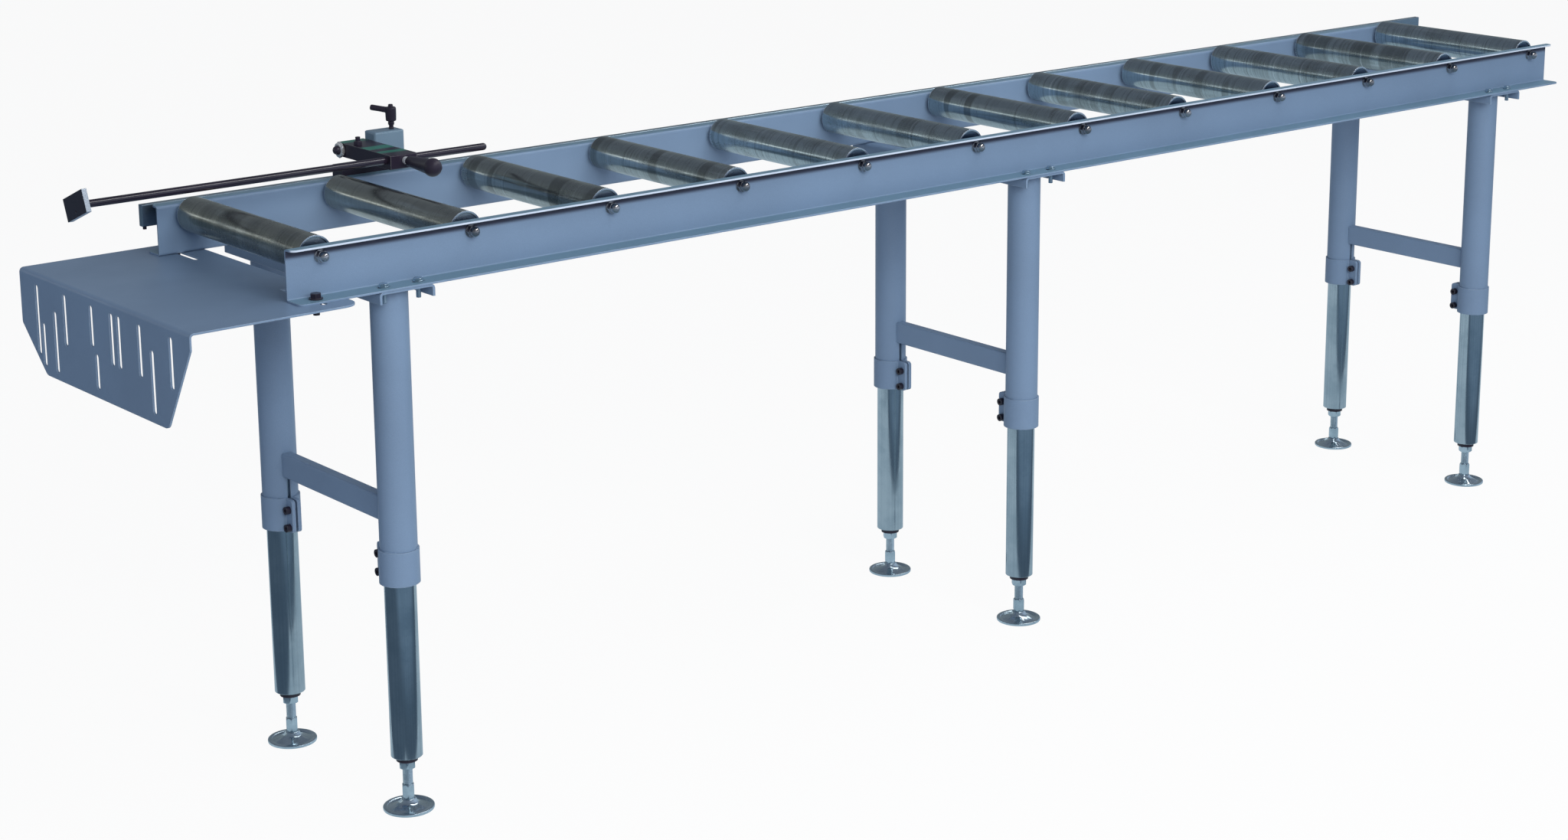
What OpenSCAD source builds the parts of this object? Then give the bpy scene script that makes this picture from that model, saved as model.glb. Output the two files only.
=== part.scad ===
// Outfeed roller table: two channel rails on three height-adjustable leg frames, twelve free
// rollers, a slotted end plate and a length stop that slides on a guide bar.
// X runs along the table, -Y is the operator's side, Z is up from the floor.

/* [Rails] */
// Length of both rails
rail_length = 3000; // [2700:10:3300]
// Height of a rail
rail_height = 80; // [70:1:90]
// Sheet of the rails
rail_sheet = 3; // [2:0.5:4]
// Height of the rails' top above the floor
rail_top = 930; // [900:1:960]
// Distance between the outer faces of the two webs
web_spacing = 399; // [370:1:430]
// Reach of a top flange beyond the web
top_flange = 18; // [14:1:20]
// Reach of a bottom flange beyond the web
bottom_flange = 38; // [34:1:42]
// Outer radius of the rails' bends
rail_bend = 5; // [4.5:0.5:7]
// Radius of the flanges' free corners
flange_corner = 10; // [4:1:13]

/* [Rollers] */
// Diameter of a roller
roller_d = 57; // [50:1:58]
// Wall of a roller's tube
roller_wall = 3; // [2:0.5:4]
// Space between a roller's end and the web
roller_end_gap = 10.5; // [8:0.5:14]
// Place of the first and the last axle, from the rails' ends
first_axle = 57; // [45:1:80]
// Depth of the axles below the rails' top
axle_drop = 18; // [17:1:24]
// Diameter of an axle
axle_d = 12; // [11:0.5:12]
// Diameter of an axle's threaded ends
axle_thread_d = 10; // [8:0.5:10]

/* [Leg frames] */
// Place of the first leg frame, from the rails' left end
leg_1_place = 182; // [160:1:240]
// Place of the middle leg frame, from the rails' left end
leg_2_place = 1505; // [1400:1:1600]
// Place of the last leg frame, from the rails' right end
leg_3_place = 178; // [120:1:240]
// Distance between the two tubes of a leg frame
leg_spacing = 362; // [330:1:390]
// Wall of an upper leg tube
leg_tube_wall = 4; // [3:0.5:5]
// Height of the upper tubes' lower ends above the floor
leg_tube_foot = 375; // [340:1:410]
// Width of a top channel along the table
channel_width = 96; // [90:1:110]
// Depth of a top channel
channel_depth = 19; // [15:1:24]
// Sheet of a top channel
channel_sheet = 4; // [3:0.5:5]
// Height of a crossbar's underside above the floor
crossbar_foot = 466; // [440:1:500]
// Height of a crossbar's section
crossbar_height = 40; // [30:1:50]
// Width of a crossbar's section
crossbar_width = 20; // [16:1:30]
// Wall of a crossbar
crossbar_wall = 2; // [1.5:0.5:3]

/* [Clamps] */
// Height of a leg clamp
clamp_height = 55; // [48:1:60]
// Band of a leg clamp
clamp_band = 2.5; // [2:0.5:4]
// Reach of a clamp's ears from the tube's axis
ear_reach = 51; // [48:1:56]
// Thickness of an ear
ear_thickness = 6; // [4:0.5:8]
// Gap between the two ears
ear_gap = 4; // [3:0.5:6]

/* [Inner legs and feet] */
// Diameter of an inner leg
inner_leg_d = 50; // [46:1:52]
// Wall of an inner leg
inner_leg_wall = 3; // [2:0.5:4]
// Length of an inner leg
inner_leg_length = 480; // [460:5:500]
// Height of an inner leg's lower end above the floor
inner_leg_foot = 81; // [76:1:90]
// Diameter of a foot's threaded stem
stem_d = 16; // [12:1:16]
// Diameter of a foot's pad
pad_d = 81; // [70:1:90]

/* [End plate] */
// Sheet of the end plate
plate_sheet = 3; // [2:0.5:5]
// Width of the end plate
plate_width = 546; // [540:1:580]
// Reach of the end plate beyond the rails' left end
plate_reach = 198; // [180:1:240]
// Reach of the end plate under the rails
plate_tongue = 80; // [70:1:100]
// Drop of the flap below the rails
flap_drop = 156; // [140:1:180]
// Outer radius of the plate's bend
plate_bend = 7; // [6:0.5:9]
// Width of the flap's slots
flap_slot_width = 11; // [7:0.5:13]
// Width of the two long slots
long_slot_width = 11; // [10.5:0.5:13]
// Length of the two long slots
long_slot_length = 127; // [110:1:135]

/* [Guide bar] */
// Length of the guide bar
guide_length = 3120; // [3110:10:3400]
// Height of the guide bar's section
guide_height = 35; // [30:1:40]
// Thickness of the guide bar
guide_thickness = 12; // [10:0.5:14]
// Space between the far web and the guide bar
guide_space = 22.5; // [22.5:0.5:26]
// Reach of the guide bar beyond the rails' left end
guide_lead = 12; // [11:1:20]

/* [Length stop] */
// Place of the stop's shoe from the rails' left end
shoe_place = 345; // [320:5:2000]
// Length of the stop's shoe
shoe_length = 115; // [100:1:200]
// Thickness of the shoe's top
shoe_top = 15.5; // [12:0.5:30]
// Length of the stop arm
arm_length = 164.5; // [150:0.5:180]
// Width of the stop arm along the table
arm_width = 49; // [40:1:50]
// Height of the stop arm's section
arm_height = 23; // [20:1:28]
// Diameter of the stop rod
rod_d = 12; // [10:1:12]
// Length of the stop rod
rod_length = 721; // [700:1:900]
// Long side of the stop plate
stop_plate_width = 70; // [60:1:70]
// Short side of the stop plate
stop_plate_height = 36; // [30:1:36]
// Thickness of the stop plate
stop_plate_thickness = 8; // [6:0.5:10]

/* [Hidden] */
$fn = 48;
arc_steps = 6;
overrun = 1;
// A nut's turned corners: the barrel's radius and the chamfer's height, over the width across flats
nut_barrel_share = 0.6;
nut_chamfer_share = 0.06;
// Running fit of turning and sliding pins, and the play of pieces that are pressed or welded on
running_fit = 0.05;
snug_fit = 0.03;
slide_gap = 0.3;
leg_clearance = 0.3;
bolt_clearance = 0.5;

near = -1;
far = 1;
roller_count = 12;
leg_frames = [1, 2, 3];

// The model is centred over its own length, from the flap to the guide bar's far end
rail_left = (plate_reach - (guide_length - guide_lead)) / 2;
rail_right = rail_left + rail_length;
rail_foot = rail_top - rail_height;
web_face = web_spacing / 2;
web_inside = web_face - rail_sheet;

// Rollers
axle_z = rail_top - axle_drop;
axle_pitch = (rail_length - 2 * first_axle) / (roller_count - 1);
roller_half = web_inside - roller_end_gap;
roller_bore = roller_d - 2 * roller_wall;
bearing_d = 32;
bearing_width = 10;
bearing_groove_d = 24;
bearing_groove_depth = 1;
housing_recess = 2;
housing_lip = 1.5;
housing_root = 3;
housing_depth = housing_lip + bearing_width + housing_root;
housing_shoulder_d = 27;
dust_gap = 2;
web_washer_d = 20;
web_washer_height = 2;
cap_nut_flats = 17;
cap_nut_hex = 8;
cap_nut_height = 18;
cap_nut_dome_d = 16;
axle_thread_reach = 13;
function axle_x(index) = rail_left + first_axle + index * axle_pitch;

// Bolts through the bottom flanges
bolt_offset = 18;
bolt_line = web_face + bolt_offset;
leg_bolt_d = 8;
leg_bolt_length = 25;
leg_bolt_flats = 13;
leg_bolt_head = 5.5;
leg_bolt_half = 30;
leg_slot_length = 22;
leg_places = [0, leg_1_place, leg_2_place, rail_length - leg_3_place];
function leg_x(frame_number) = rail_left + leg_places[frame_number];

// Leg frames
channel_reach = web_face + bottom_flange - rail_sheet / 2;
channel_inner_bend = 3;
channel_bend = channel_sheet + channel_inner_bend;
leg_bore = inner_leg_d + 2 * leg_clearance;
leg_tube_d = leg_bore + 2 * leg_tube_wall;
leg_tube_head = rail_foot - channel_sheet;
slit_width = 6;
crossbar_corner = 3;
clamp_bore = leg_tube_d + 2 * snug_fit;
clamp_outer_d = clamp_bore + 2 * clamp_band;
ear_corner = 6;
clamp_screw_d = 8;
clamp_screw_head_d = 13;
clamp_screw_head = 8;
clamp_screw_socket = 6;
clamp_screw_tail = 3.5;
clamp_screw_margin = 10;
clamp_screw_reach = ear_reach - clamp_screw_margin;
clamp_screw_low = 8;
clamp_screw_rise = 30;

// Inner legs and feet
plug_height = 20;
lock_nut_flats = 24;
lock_nut_height = 13;
stem_spare = 24;
stem_top = inner_leg_foot + plug_height + stem_spare;
neck_flats = 18;
neck_foot = 17.5;
neck_top = 41;
neck_cone = 2.5;
spigot_d = 10;
pad_sheet = 3;
pad_lip = 5;
pad_ring = 8;
pad_hub_d = 26;
pad_shoulder = 10;
pad_crown_share = 0.8;

// End plate
flap_x = rail_left - plate_reach;
plate_corner = 25;
flap_corner = 15;
flap_shoulder = 6;
near_side_drop = 25;
far_side_drop = 86;
near_bottom_inset = 79;
far_bottom_inset = 76;
// Each slot of the flap: its place over half the plate's width, and its ends over the flap's drop
flap_slot_shares = [
    [0.795, 0.110, 0.815], [0.733, 0.475, 0.915], [0.580, 0.310, 0.930], [0.450, 0.100, 0.615],
    [0.128, 0.100, 0.510], [0.084, 0.565, 0.915], [-0.110, 0.100, 0.615], [-0.194, 0.100, 0.615],
    [-0.432, 0.100, 0.610], [-0.568, 0.300, 0.915], [-0.784, 0.100, 0.600]
];
plate_bolt_place = 37;
plate_bolt_x = rail_left + plate_bolt_place;
long_slot_far_shift = 13;
long_slot_near_shift = 35;
long_slot_far = bolt_line - long_slot_far_shift;
long_slot_near = long_slot_near_shift - bolt_line;
plate_bolt_d = 10;
plate_bolt_length = 24;
plate_bolt_flats = 15;
plate_bolt_head = 7;
plate_bolt_flange_d = 21;
plate_bolt_flange = 2;
plate_nut_flats = 17;
plate_nut_height = 8;

// Guide bar and its fixings
guide_y = web_face + guide_space;
guide_left = rail_left - guide_lead;
guide_axis = rail_top - guide_height / 2;
guide_edge = 0.8;
boss_d = 16;
boss_end_margin = 30;
boss_first = first_axle + axle_pitch / 2;
boss_step = 2 * axle_pitch;
boss_reach = min(rail_length - first_axle, guide_length - guide_lead) - boss_end_margin;
boss_count = floor((boss_reach - boss_first) / boss_step) + 1;
guide_screw_d = 8;
guide_screw_head_d = 15;
guide_screw_head = 4;
guide_screw_length = 28;
guide_screw_socket = 5;
end_pin_d = 6;
end_pin_inset = 5.5;
end_pin_tail = 5;
function boss_x(index) = rail_left + boss_first + index * boss_step;

// Length stop: shoe, clamp block and pivot
shoe_left = rail_left + shoe_place;
shoe_foot = rail_top + slide_gap;
shoe_z = shoe_foot + shoe_top;
toe_thickness = 3.4;
toe_drop = 9;
toe_back = guide_y - slide_gap;
shoe_leg = 16;
shoe_front = toe_back - toe_thickness;
shoe_back = guide_y + guide_thickness + shoe_leg;
shoe_edge = 3;
lip_thickness = 6;
lip_reach = 10;
block_length = 57;
block_end_overhang = 4;
block_front_overhang = 7;
block_back_inset = 0.5;
block_left = shoe_left + shoe_length + block_end_overhang - block_length;
block_front = guide_y - block_front_overhang;
block_back = shoe_back - block_back_inset;
block_height = 49;
block_edge = 5;
block_top = shoe_z + block_height;
arm_gap = 1;
arm_right = block_left - arm_gap;
arm_left = arm_right - arm_width;
arm_lift = 12.2;
arm_foot = shoe_z + arm_lift;
pivot_d = 12;
arm_overhang = 0.5;
pivot_y = shoe_back + arm_overhang - arm_height / 2;
pivot_z = arm_foot + arm_height / 2;
pivot_grip = 30;
pivot_nut_flats = 24;
pivot_nut_height = 6;
pivot_cap_d = 16;
pivot_cap_height = 9;
arm_back = pivot_y + arm_height / 2;
arm_front = arm_back - arm_length;
arm_edge = 2;

// Length stop: clamp lever, rod, plate and handle
lever_place = 41;
lever_offset = 2;
lever_x = block_left + lever_place;
lever_y = guide_y + guide_thickness / 2 + lever_offset;
lever_stud_d = 8;
lever_base_d = 8.6;
lever_base = 2;
lever_waist_d = 7.6;
lever_collar_d = 10.2;
lever_collar = 6.4;
lever_neck = 13;
lever_hub_d = 18;
lever_hub = 23.5;
lever_cap_d = 8;
lever_cap = 4.5;
lever_reach = 31;
lever_rise = 6;
lever_direction = 133;
lever_root_d = 12;
lever_tip_d = 9;
rod_inset = 16;
rod_rise = 13.3;
rod_reach = 529;
rod_y = arm_front + rod_inset;
rod_z = arm_foot + rod_rise;
rod_left = arm_left - rod_reach;
rod_spigot_d = 8;
rod_spigot = 5;
stop_tilt = 22;
dimple_d = 4;
dimple_depth = 1;
dimple_offset = 9;
stop_plate_edge = 0.6;
arm_screw_place = 11;
arm_screw_offset = 35;
arm_screw_x = arm_left + arm_screw_place;
arm_screw_y = pivot_y - arm_screw_offset;
arm_screw_d = 8;
arm_screw_rise = 13.5;
arm_screw_depth = 14;
arm_screw_socket = 4;
arm_nut_flats = 13;
arm_nut_height = 6.5;
handle_place = 27;
handle_x = arm_left + handle_place;
handle_stud_d = 8;
handle_collar_d = 12;
handle_collar = 12;
handle_grip_d = 15;
handle_neck_d = 27;
handle_ball_d = 28.5;
handle_reach = 86;

// Colours of the finishes
paint = [0.42, 0.50, 0.61];
zinc = [0.72, 0.76, 0.78];
roller_steel = [0.47, 0.51, 0.50];
bright = [0.80, 0.82, 0.83];
black = [0.10, 0.09, 0.12];
black_plastic = [0.12, 0.11, 0.14];

// Outlines with rounded corners: each point is [x, y, radius]
function unit(v) = v / norm(v);
function flat(p) = [p[0], p[1]];
function corner(before, at, after) =
    let (
        u = unit(flat(before) - flat(at)),
        v = unit(flat(after) - flat(at)),
        half = acos(u * v) / 2,
        centre = flat(at) + unit(u + v) * at[2] / sin(half),
        start = flat(at) + u * at[2] / tan(half) - centre,
        finish = flat(at) + v * at[2] / tan(half) - centre,
        first = atan2(start[1], start[0]),
        turn = atan2(start[0] * finish[1] - start[1] * finish[0], start * finish)
    )
    [for (step = [0:arc_steps]) let (a = first + turn * step / arc_steps) centre + at[2] * [cos(a), sin(a)]];
function rounded(points) =
    let (n = len(points))
    [for (i = [0:n - 1])
        each points[i][2] == 0
            ? [flat(points[i])]
            : corner(points[(i + n - 1) % n], points[i], points[(i + 1) % n])];

// Directions: an outline in YZ pushed along X, and an outline in XZ pushed along Y about its middle
module along_x(length) {
    rotate([90, 0, 90]) linear_extrude(length) children();
}
module along_y(length) {
    translate([0, length / 2, 0]) rotate([90, 0, 0]) linear_extrude(length) children();
}
module pin_x(x, y, z, d, length) {
    translate([x, y, z]) rotate([0, 90, 0]) cylinder(d = d, h = length);
}
module pin_y(x, y, z, d, length) {
    translate([x, y + length, z]) rotate([90, 0, 0]) cylinder(d = d, h = length);
}

// A slot with round ends between two points of its middle line
module slot_outline(length, width) {
    square([length - width, width], center = true);
    for (end = [-1, 1]) translate([end * (length - width) / 2, 0]) circle(d = width);
}

// What is left outside a quarter circle whose corner is at the origin
module corner_waste(radius, height) {
    translate([0, 0, -overrun]) linear_extrude(height + 2 * overrun) difference() {
        translate([-radius, -radius]) square(radius + overrun);
        translate([-radius, -radius]) circle(radius);
    }
}

// Hexagon bar, and the same with both ends' corners turned off as on a nut
module hexagon(flats, height) {
    cylinder(d = flats / cos(30), h = height, $fn = 6);
}
module nut_blank(flats, height) {
    intersection() {
        hexagon(flats, height);
        rotate_extrude() polygon([
            [0, 0], [flats / 2, 0], [flats * nut_barrel_share, flats * nut_chamfer_share],
            [flats * nut_barrel_share, height - flats * nut_chamfer_share], [flats / 2, height], [0, height]
        ]);
    }
}

// Rails: the far one opens away from the operator, the near one is its mirror image
module rail_blank() {
    translate([rail_left, web_face, rail_foot]) along_x(rail_length) polygon(rounded([
        [-rail_sheet, 0, rail_bend], [bottom_flange, 0, 0], [bottom_flange, rail_sheet, 0],
        [0, rail_sheet, rail_bend - rail_sheet], [0, rail_height - rail_sheet, rail_bend - rail_sheet],
        [top_flange, rail_height - rail_sheet, 0], [top_flange, rail_height, 0],
        [-rail_sheet, rail_height, rail_bend]
    ]));
}
module rail() {
    difference() {
        rail_blank();
        for (index = [0:roller_count - 1])
            pin_y(axle_x(index), web_inside - overrun, axle_z,
                axle_thread_d + bolt_clearance, rail_sheet + 2 * overrun);
        for (frame_number = leg_frames, side = [-1, 1])
            translate([leg_x(frame_number) + side * leg_bolt_half, bolt_line, rail_foot - overrun])
                linear_extrude(rail_sheet + 2 * overrun)
                    slot_outline(leg_slot_length, leg_bolt_d + bolt_clearance);
        translate([plate_bolt_x, bolt_line, rail_foot - overrun])
            cylinder(d = plate_bolt_d + bolt_clearance, h = rail_sheet + 2 * overrun);
        for (flange = [[bottom_flange, rail_foot], [top_flange, rail_top - rail_sheet]]) {
            translate([rail_right, web_face + flange[0], flange[1]])
                corner_waste(min(flange_corner, flange[0] - rail_bend), rail_sheet);
            translate([rail_left, web_face + flange[0], flange[1]])
                mirror([1, 0, 0]) corner_waste(min(flange_corner, flange[0] - rail_bend), rail_sheet);
        }
    }
}
module near_rail() {
    color(paint) mirror([0, 1, 0]) rail();
}
module far_rail() {
    color(paint) rail();
}

// End plate: one bent sheet with a slotted flap and two long slots for its bolts
module plate_profile() {
    polygon(rounded([
        [0, -flap_drop, 0], [plate_sheet, -flap_drop, 0],
        [plate_sheet, -plate_sheet, plate_bend - plate_sheet], [plate_reach + plate_tongue, -plate_sheet, 0],
        [plate_reach + plate_tongue, 0, 0], [0, 0, plate_bend]
    ]));
}
module flap_outline() {
    side = plate_width / 2;
    polygon(rounded([
        [-side, overrun, 0], [-side, -near_side_drop, flap_shoulder],
        [-side + near_bottom_inset, -flap_drop, flap_corner],
        [side - far_bottom_inset, -flap_drop, flap_corner],
        [side, -far_side_drop, flap_shoulder], [side, overrun, 0]
    ]));
}
module tongue_outline() {
    side = plate_width / 2;
    reach = plate_reach + plate_tongue;
    polygon(rounded([
        [plate_bend, -side, 0], [reach, -side, plate_corner],
        [reach, side, plate_corner], [plate_bend, side, 0]
    ]));
}
module end_plate() {
    color(paint) difference() {
        translate([flap_x, 0, rail_foot]) union() {
            intersection() {
                along_y(plate_width) plate_profile();
                translate([-overrun, 0, 0]) along_x(plate_bend + overrun) flap_outline();
            }
            intersection() {
                along_y(plate_width) plate_profile();
                translate([0, 0, -plate_sheet - overrun])
                    linear_extrude(plate_sheet + 2 * overrun) tongue_outline();
            }
        }
        for (slot = flap_slot_shares)
            translate([
                flap_x - overrun, slot[0] * plate_width / 2,
                rail_foot - flap_drop * (slot[1] + slot[2]) / 2
            ])
                rotate([90, 0, 90]) linear_extrude(plate_sheet + 2 * overrun)
                    rotate(90) slot_outline(flap_drop * (slot[2] - slot[1]), flap_slot_width);
        for (middle = [long_slot_near, long_slot_far])
            translate([plate_bolt_x, middle, rail_foot - plate_sheet - overrun])
                linear_extrude(plate_sheet + 2 * overrun)
                    rotate(90) slot_outline(long_slot_length, long_slot_width);
    }
}
module end_plate_bolts() {
    color(black) for (side = [near, far])
        translate([plate_bolt_x, side * bolt_line, rail_foot + rail_sheet]) {
            cylinder(d = plate_bolt_flange_d, h = plate_bolt_flange);
            nut_blank(plate_bolt_flats, plate_bolt_head + plate_bolt_flange);
            translate([0, 0, -plate_bolt_length])
                cylinder(d = plate_bolt_d, h = plate_bolt_length + overrun);
            translate([0, 0, -rail_sheet - plate_sheet - plate_nut_height]) difference() {
                nut_blank(plate_nut_flats, plate_nut_height);
                translate([0, 0, -overrun])
                    cylinder(d = plate_bolt_d + 2 * snug_fit, h = plate_nut_height + 2 * overrun);
            }
        }
}

// Leg frames: a pressed channel under the rails, two tubes and a crossbar, welded together
module top_channel(frame_number) {
    half = channel_width / 2;
    color(paint) translate([leg_x(frame_number), 0, rail_foot]) difference() {
        along_y(2 * channel_reach) polygon(rounded([
            [-half, -channel_depth, 0], [-half + channel_sheet, -channel_depth, 0],
            [-half + channel_sheet, -channel_sheet, channel_bend - channel_sheet],
            [half - channel_sheet, -channel_sheet, channel_bend - channel_sheet],
            [half - channel_sheet, -channel_depth, 0], [half, -channel_depth, 0],
            [half, 0, channel_bend], [-half, 0, channel_bend]
        ]));
        for (side = [near, far], end = [-1, 1])
            translate([end * leg_bolt_half, side * bolt_line, -channel_sheet - overrun])
                cylinder(d = leg_bolt_d + 2 * snug_fit, h = channel_sheet + 2 * overrun);
    }
}
module leg_tube(frame_number, side) {
    height = leg_tube_head - leg_tube_foot;
    color(paint) translate([leg_x(frame_number), side * leg_spacing / 2, leg_tube_foot]) difference() {
        cylinder(d = leg_tube_d, h = height);
        translate([0, 0, -overrun]) cylinder(d = leg_bore, h = height + 2 * overrun);
        translate([-slit_width / 2, -side * leg_tube_d / 2 - leg_tube_d / 2, -overrun])
            cube([slit_width, leg_tube_d, crossbar_foot - leg_tube_foot + overrun]);
    }
}
module crossbar(frame_number) {
    module section(inset, radius) {
        w = crossbar_width / 2 - inset;
        h = crossbar_height / 2 - inset;
        polygon(rounded([[-w, -h, radius], [w, -h, radius], [w, h, radius], [-w, h, radius]]));
    }
    color(paint) translate([leg_x(frame_number), 0, crossbar_foot + crossbar_height / 2]) difference() {
        along_y(leg_spacing) section(0, crossbar_corner);
        along_y(leg_spacing + 2 * overrun) section(crossbar_wall, crossbar_corner - crossbar_wall);
        for (side = [near, far])
            translate([0, side * leg_spacing / 2, -crossbar_height])
                cylinder(d = leg_tube_d + 2 * snug_fit, h = 2 * crossbar_height);
    }
}

// Leg clamps: a split band round the tube's lower end, with two ears that two screws draw together
module leg_clamp() {
    difference() {
        union() {
            cylinder(d = clamp_outer_d, h = clamp_height);
            for (end = [0, 1]) mirror([end, 0, 0]) translate([ear_gap / 2, 0, 0])
                along_x(ear_thickness) polygon(rounded([
                    [0, 0, 0], [ear_reach, 0, ear_corner],
                    [ear_reach, clamp_height, ear_corner], [0, clamp_height, 0]
                ]));
        }
        translate([0, 0, -overrun]) cylinder(d = clamp_bore, h = clamp_height + 2 * overrun);
        translate([-ear_gap / 2, 0, -overrun]) cube([ear_gap, ear_reach, clamp_height + 2 * overrun]);
        for (z = [clamp_screw_low, clamp_screw_low + clamp_screw_rise])
            pin_x(-ear_reach, clamp_screw_reach, z, clamp_screw_d + 2 * snug_fit, 2 * ear_reach);
    }
}
module at_leg(frame_number, side, z) {
    translate([leg_x(frame_number), side * leg_spacing / 2, z]) children();
}
module leg_clamps(frame_number) {
    color(paint) {
        at_leg(frame_number, near, leg_tube_foot) leg_clamp();
        at_leg(frame_number, far, leg_tube_foot) mirror([0, 1, 0]) leg_clamp();
    }
}
module clamp_screw() {
    grip = ear_thickness + ear_gap / 2;
    difference() {
        union() {
            pin_x(-grip - clamp_screw_head, 0, 0, clamp_screw_head_d, clamp_screw_head);
            pin_x(-grip, 0, 0, clamp_screw_d, 2 * grip + clamp_screw_tail);
        }
        translate([-grip - clamp_screw_head - overrun, 0, 0]) rotate([0, 90, 0])
            hexagon(clamp_screw_socket, clamp_screw_head / 2 + overrun);
    }
}
module clamp_screws() {
    color(black) for (frame_number = leg_frames, side = [near, far], rise = [0, clamp_screw_rise])
        translate([
            leg_x(frame_number), side * (leg_spacing / 2 - clamp_screw_reach),
            leg_tube_foot + clamp_screw_low + rise
        ]) clamp_screw();
}
module leg_bolts() {
    color(zinc) for (frame_number = leg_frames, side = [near, far], end = [-1, 1])
        translate([leg_x(frame_number) + end * leg_bolt_half, side * bolt_line, rail_foot + rail_sheet]) {
            nut_blank(leg_bolt_flats, leg_bolt_head);
            translate([0, 0, -leg_bolt_length]) cylinder(d = leg_bolt_d, h = leg_bolt_length + overrun);
        }
}

// Rollers: a tube on two end housings that turn on bearings, on a fixed axle between the webs
module roller_axles() {
    color(bright) for (index = [0:roller_count - 1]) {
        pin_y(axle_x(index), -web_inside, axle_z, axle_d, 2 * web_inside);
        pin_y(axle_x(index), -web_face - web_washer_height - axle_thread_reach, axle_z, axle_thread_d,
            2 * (web_face + web_washer_height + axle_thread_reach));
    }
}
module cap_nut() {
    dome = cap_nut_dome_d / 2;
    difference() {
        union() {
            nut_blank(cap_nut_flats, cap_nut_hex);
            cylinder(d = cap_nut_dome_d, h = cap_nut_height - dome);
            translate([0, 0, cap_nut_height - dome]) sphere(dome);
        }
        translate([0, 0, -overrun])
            cylinder(d = axle_thread_d + 2 * snug_fit, h = axle_thread_reach + 2 * overrun);
    }
}
module web_washer() {
    difference() {
        cylinder(d = web_washer_d, h = web_washer_height);
        translate([0, 0, -overrun])
            cylinder(d = axle_thread_d + 2 * snug_fit, h = web_washer_height + 2 * overrun);
    }
}
module axle_nuts() {
    color(bright) for (index = [0:roller_count - 1], side = [0, 1])
        mirror([0, side, 0]) translate([axle_x(index), web_face, axle_z]) rotate([-90, 0, 0]) {
            web_washer();
            translate([0, 0, web_washer_height]) cap_nut();
        }
}
module bearing_ring() {
    rotate_extrude() polygon([
        [axle_d / 2 + snug_fit, 0], [bearing_groove_d / 2, 0],
        [bearing_groove_d / 2, bearing_groove_depth], [bearing_d / 2 - bearing_groove_depth, bearing_groove_depth],
        [bearing_d / 2 - bearing_groove_depth, 0], [bearing_d / 2, 0],
        [bearing_d / 2, bearing_width], [axle_d / 2 + snug_fit, bearing_width]
    ]);
}
module roller_bearings() {
    color(bright) for (index = [0:roller_count - 1], side = [0, 1])
        mirror([0, side, 0])
            translate([axle_x(index), roller_half - housing_recess - housing_lip - slide_gap, axle_z])
                rotate([90, 0, 0]) bearing_ring();
}
module end_housing() {
    outer = roller_bore / 2 - snug_fit;
    seat = bearing_d / 2 + running_fit;
    shoulder = housing_shoulder_d / 2;
    bearing_end = housing_lip + bearing_width + 2 * slide_gap;
    rotate_extrude() polygon([
        [axle_d / 2 + dust_gap, 0], [outer, 0], [outer, housing_depth],
        [shoulder, housing_depth], [shoulder, bearing_end], [seat, bearing_end],
        [seat, housing_lip], [axle_d / 2 + dust_gap, housing_lip]
    ]);
}
module roller(number) {
    color(roller_steel) translate([axle_x(number - 1), 0, axle_z]) {
        rotate([90, 0, 0]) difference() {
            cylinder(d = roller_d, h = 2 * roller_half, center = true);
            cylinder(d = roller_bore, h = 2 * roller_half + 2 * overrun, center = true);
        }
        for (side = [0, 1]) mirror([0, side, 0])
            translate([0, roller_half - housing_recess, 0]) rotate([90, 0, 0]) end_housing();
    }
}

// Inner legs: a tube with a threaded plug and a lock nut, and a levelling foot screwed into it
module inner_leg(frame_number, side) {
    inner = inner_leg_d - 2 * inner_leg_wall;
    color(zinc) at_leg(frame_number, side, inner_leg_foot) {
        difference() {
            cylinder(d = inner_leg_d, h = inner_leg_length);
            translate([0, 0, -overrun]) cylinder(d = inner, h = inner_leg_length + 2 * overrun);
        }
        difference() {
            cylinder(d = inner - 2 * snug_fit, h = plug_height);
            translate([0, 0, -overrun])
                cylinder(d = stem_d + 2 * running_fit, h = plug_height + 2 * overrun);
        }
        translate([0, 0, -lock_nut_height - snug_fit]) difference() {
            nut_blank(lock_nut_flats, lock_nut_height);
            translate([0, 0, -overrun])
                cylinder(d = stem_d + 2 * running_fit, h = lock_nut_height + 2 * overrun);
        }
    }
}
module foot_pad() {
    rim = pad_d / 2;
    hub = pad_hub_d / 2;
    hole = spigot_d / 2;
    rotate_extrude() polygon([
        [hole, neck_foot - pad_sheet], [hub / 2, neck_foot - pad_sheet], [hub, pad_shoulder - pad_sheet],
        [rim - pad_ring - pad_sheet, 0], [rim - pad_sheet, 0], [rim, pad_sheet],
        [rim, pad_lip], [rim - pad_sheet / 2, pad_lip], [rim - pad_sheet, pad_sheet],
        [rim - pad_ring, pad_sheet], [hub + pad_sheet / 2, pad_shoulder],
        [hub * pad_crown_share, neck_foot], [hole, neck_foot]
    ]);
}
module foot_stem() {
    neck = neck_top - neck_foot - snug_fit;
    translate([0, 0, neck_foot - pad_sheet]) cylinder(d = spigot_d - 2 * snug_fit, h = pad_sheet + overrun);
    translate([0, 0, neck_foot + snug_fit]) intersection() {
        hexagon(neck_flats, neck);
        rotate_extrude() polygon([
            [0, 0], [neck_flats / 2, 0], [neck_flats / 2 + neck_cone, neck_cone],
            [neck_flats / 2 + neck_cone, neck - neck_cone], [neck_flats / 2, neck], [0, neck]
        ]);
    }
    translate([0, 0, neck_top - overrun]) cylinder(d = stem_d, h = stem_top - neck_top + overrun);
}
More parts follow.
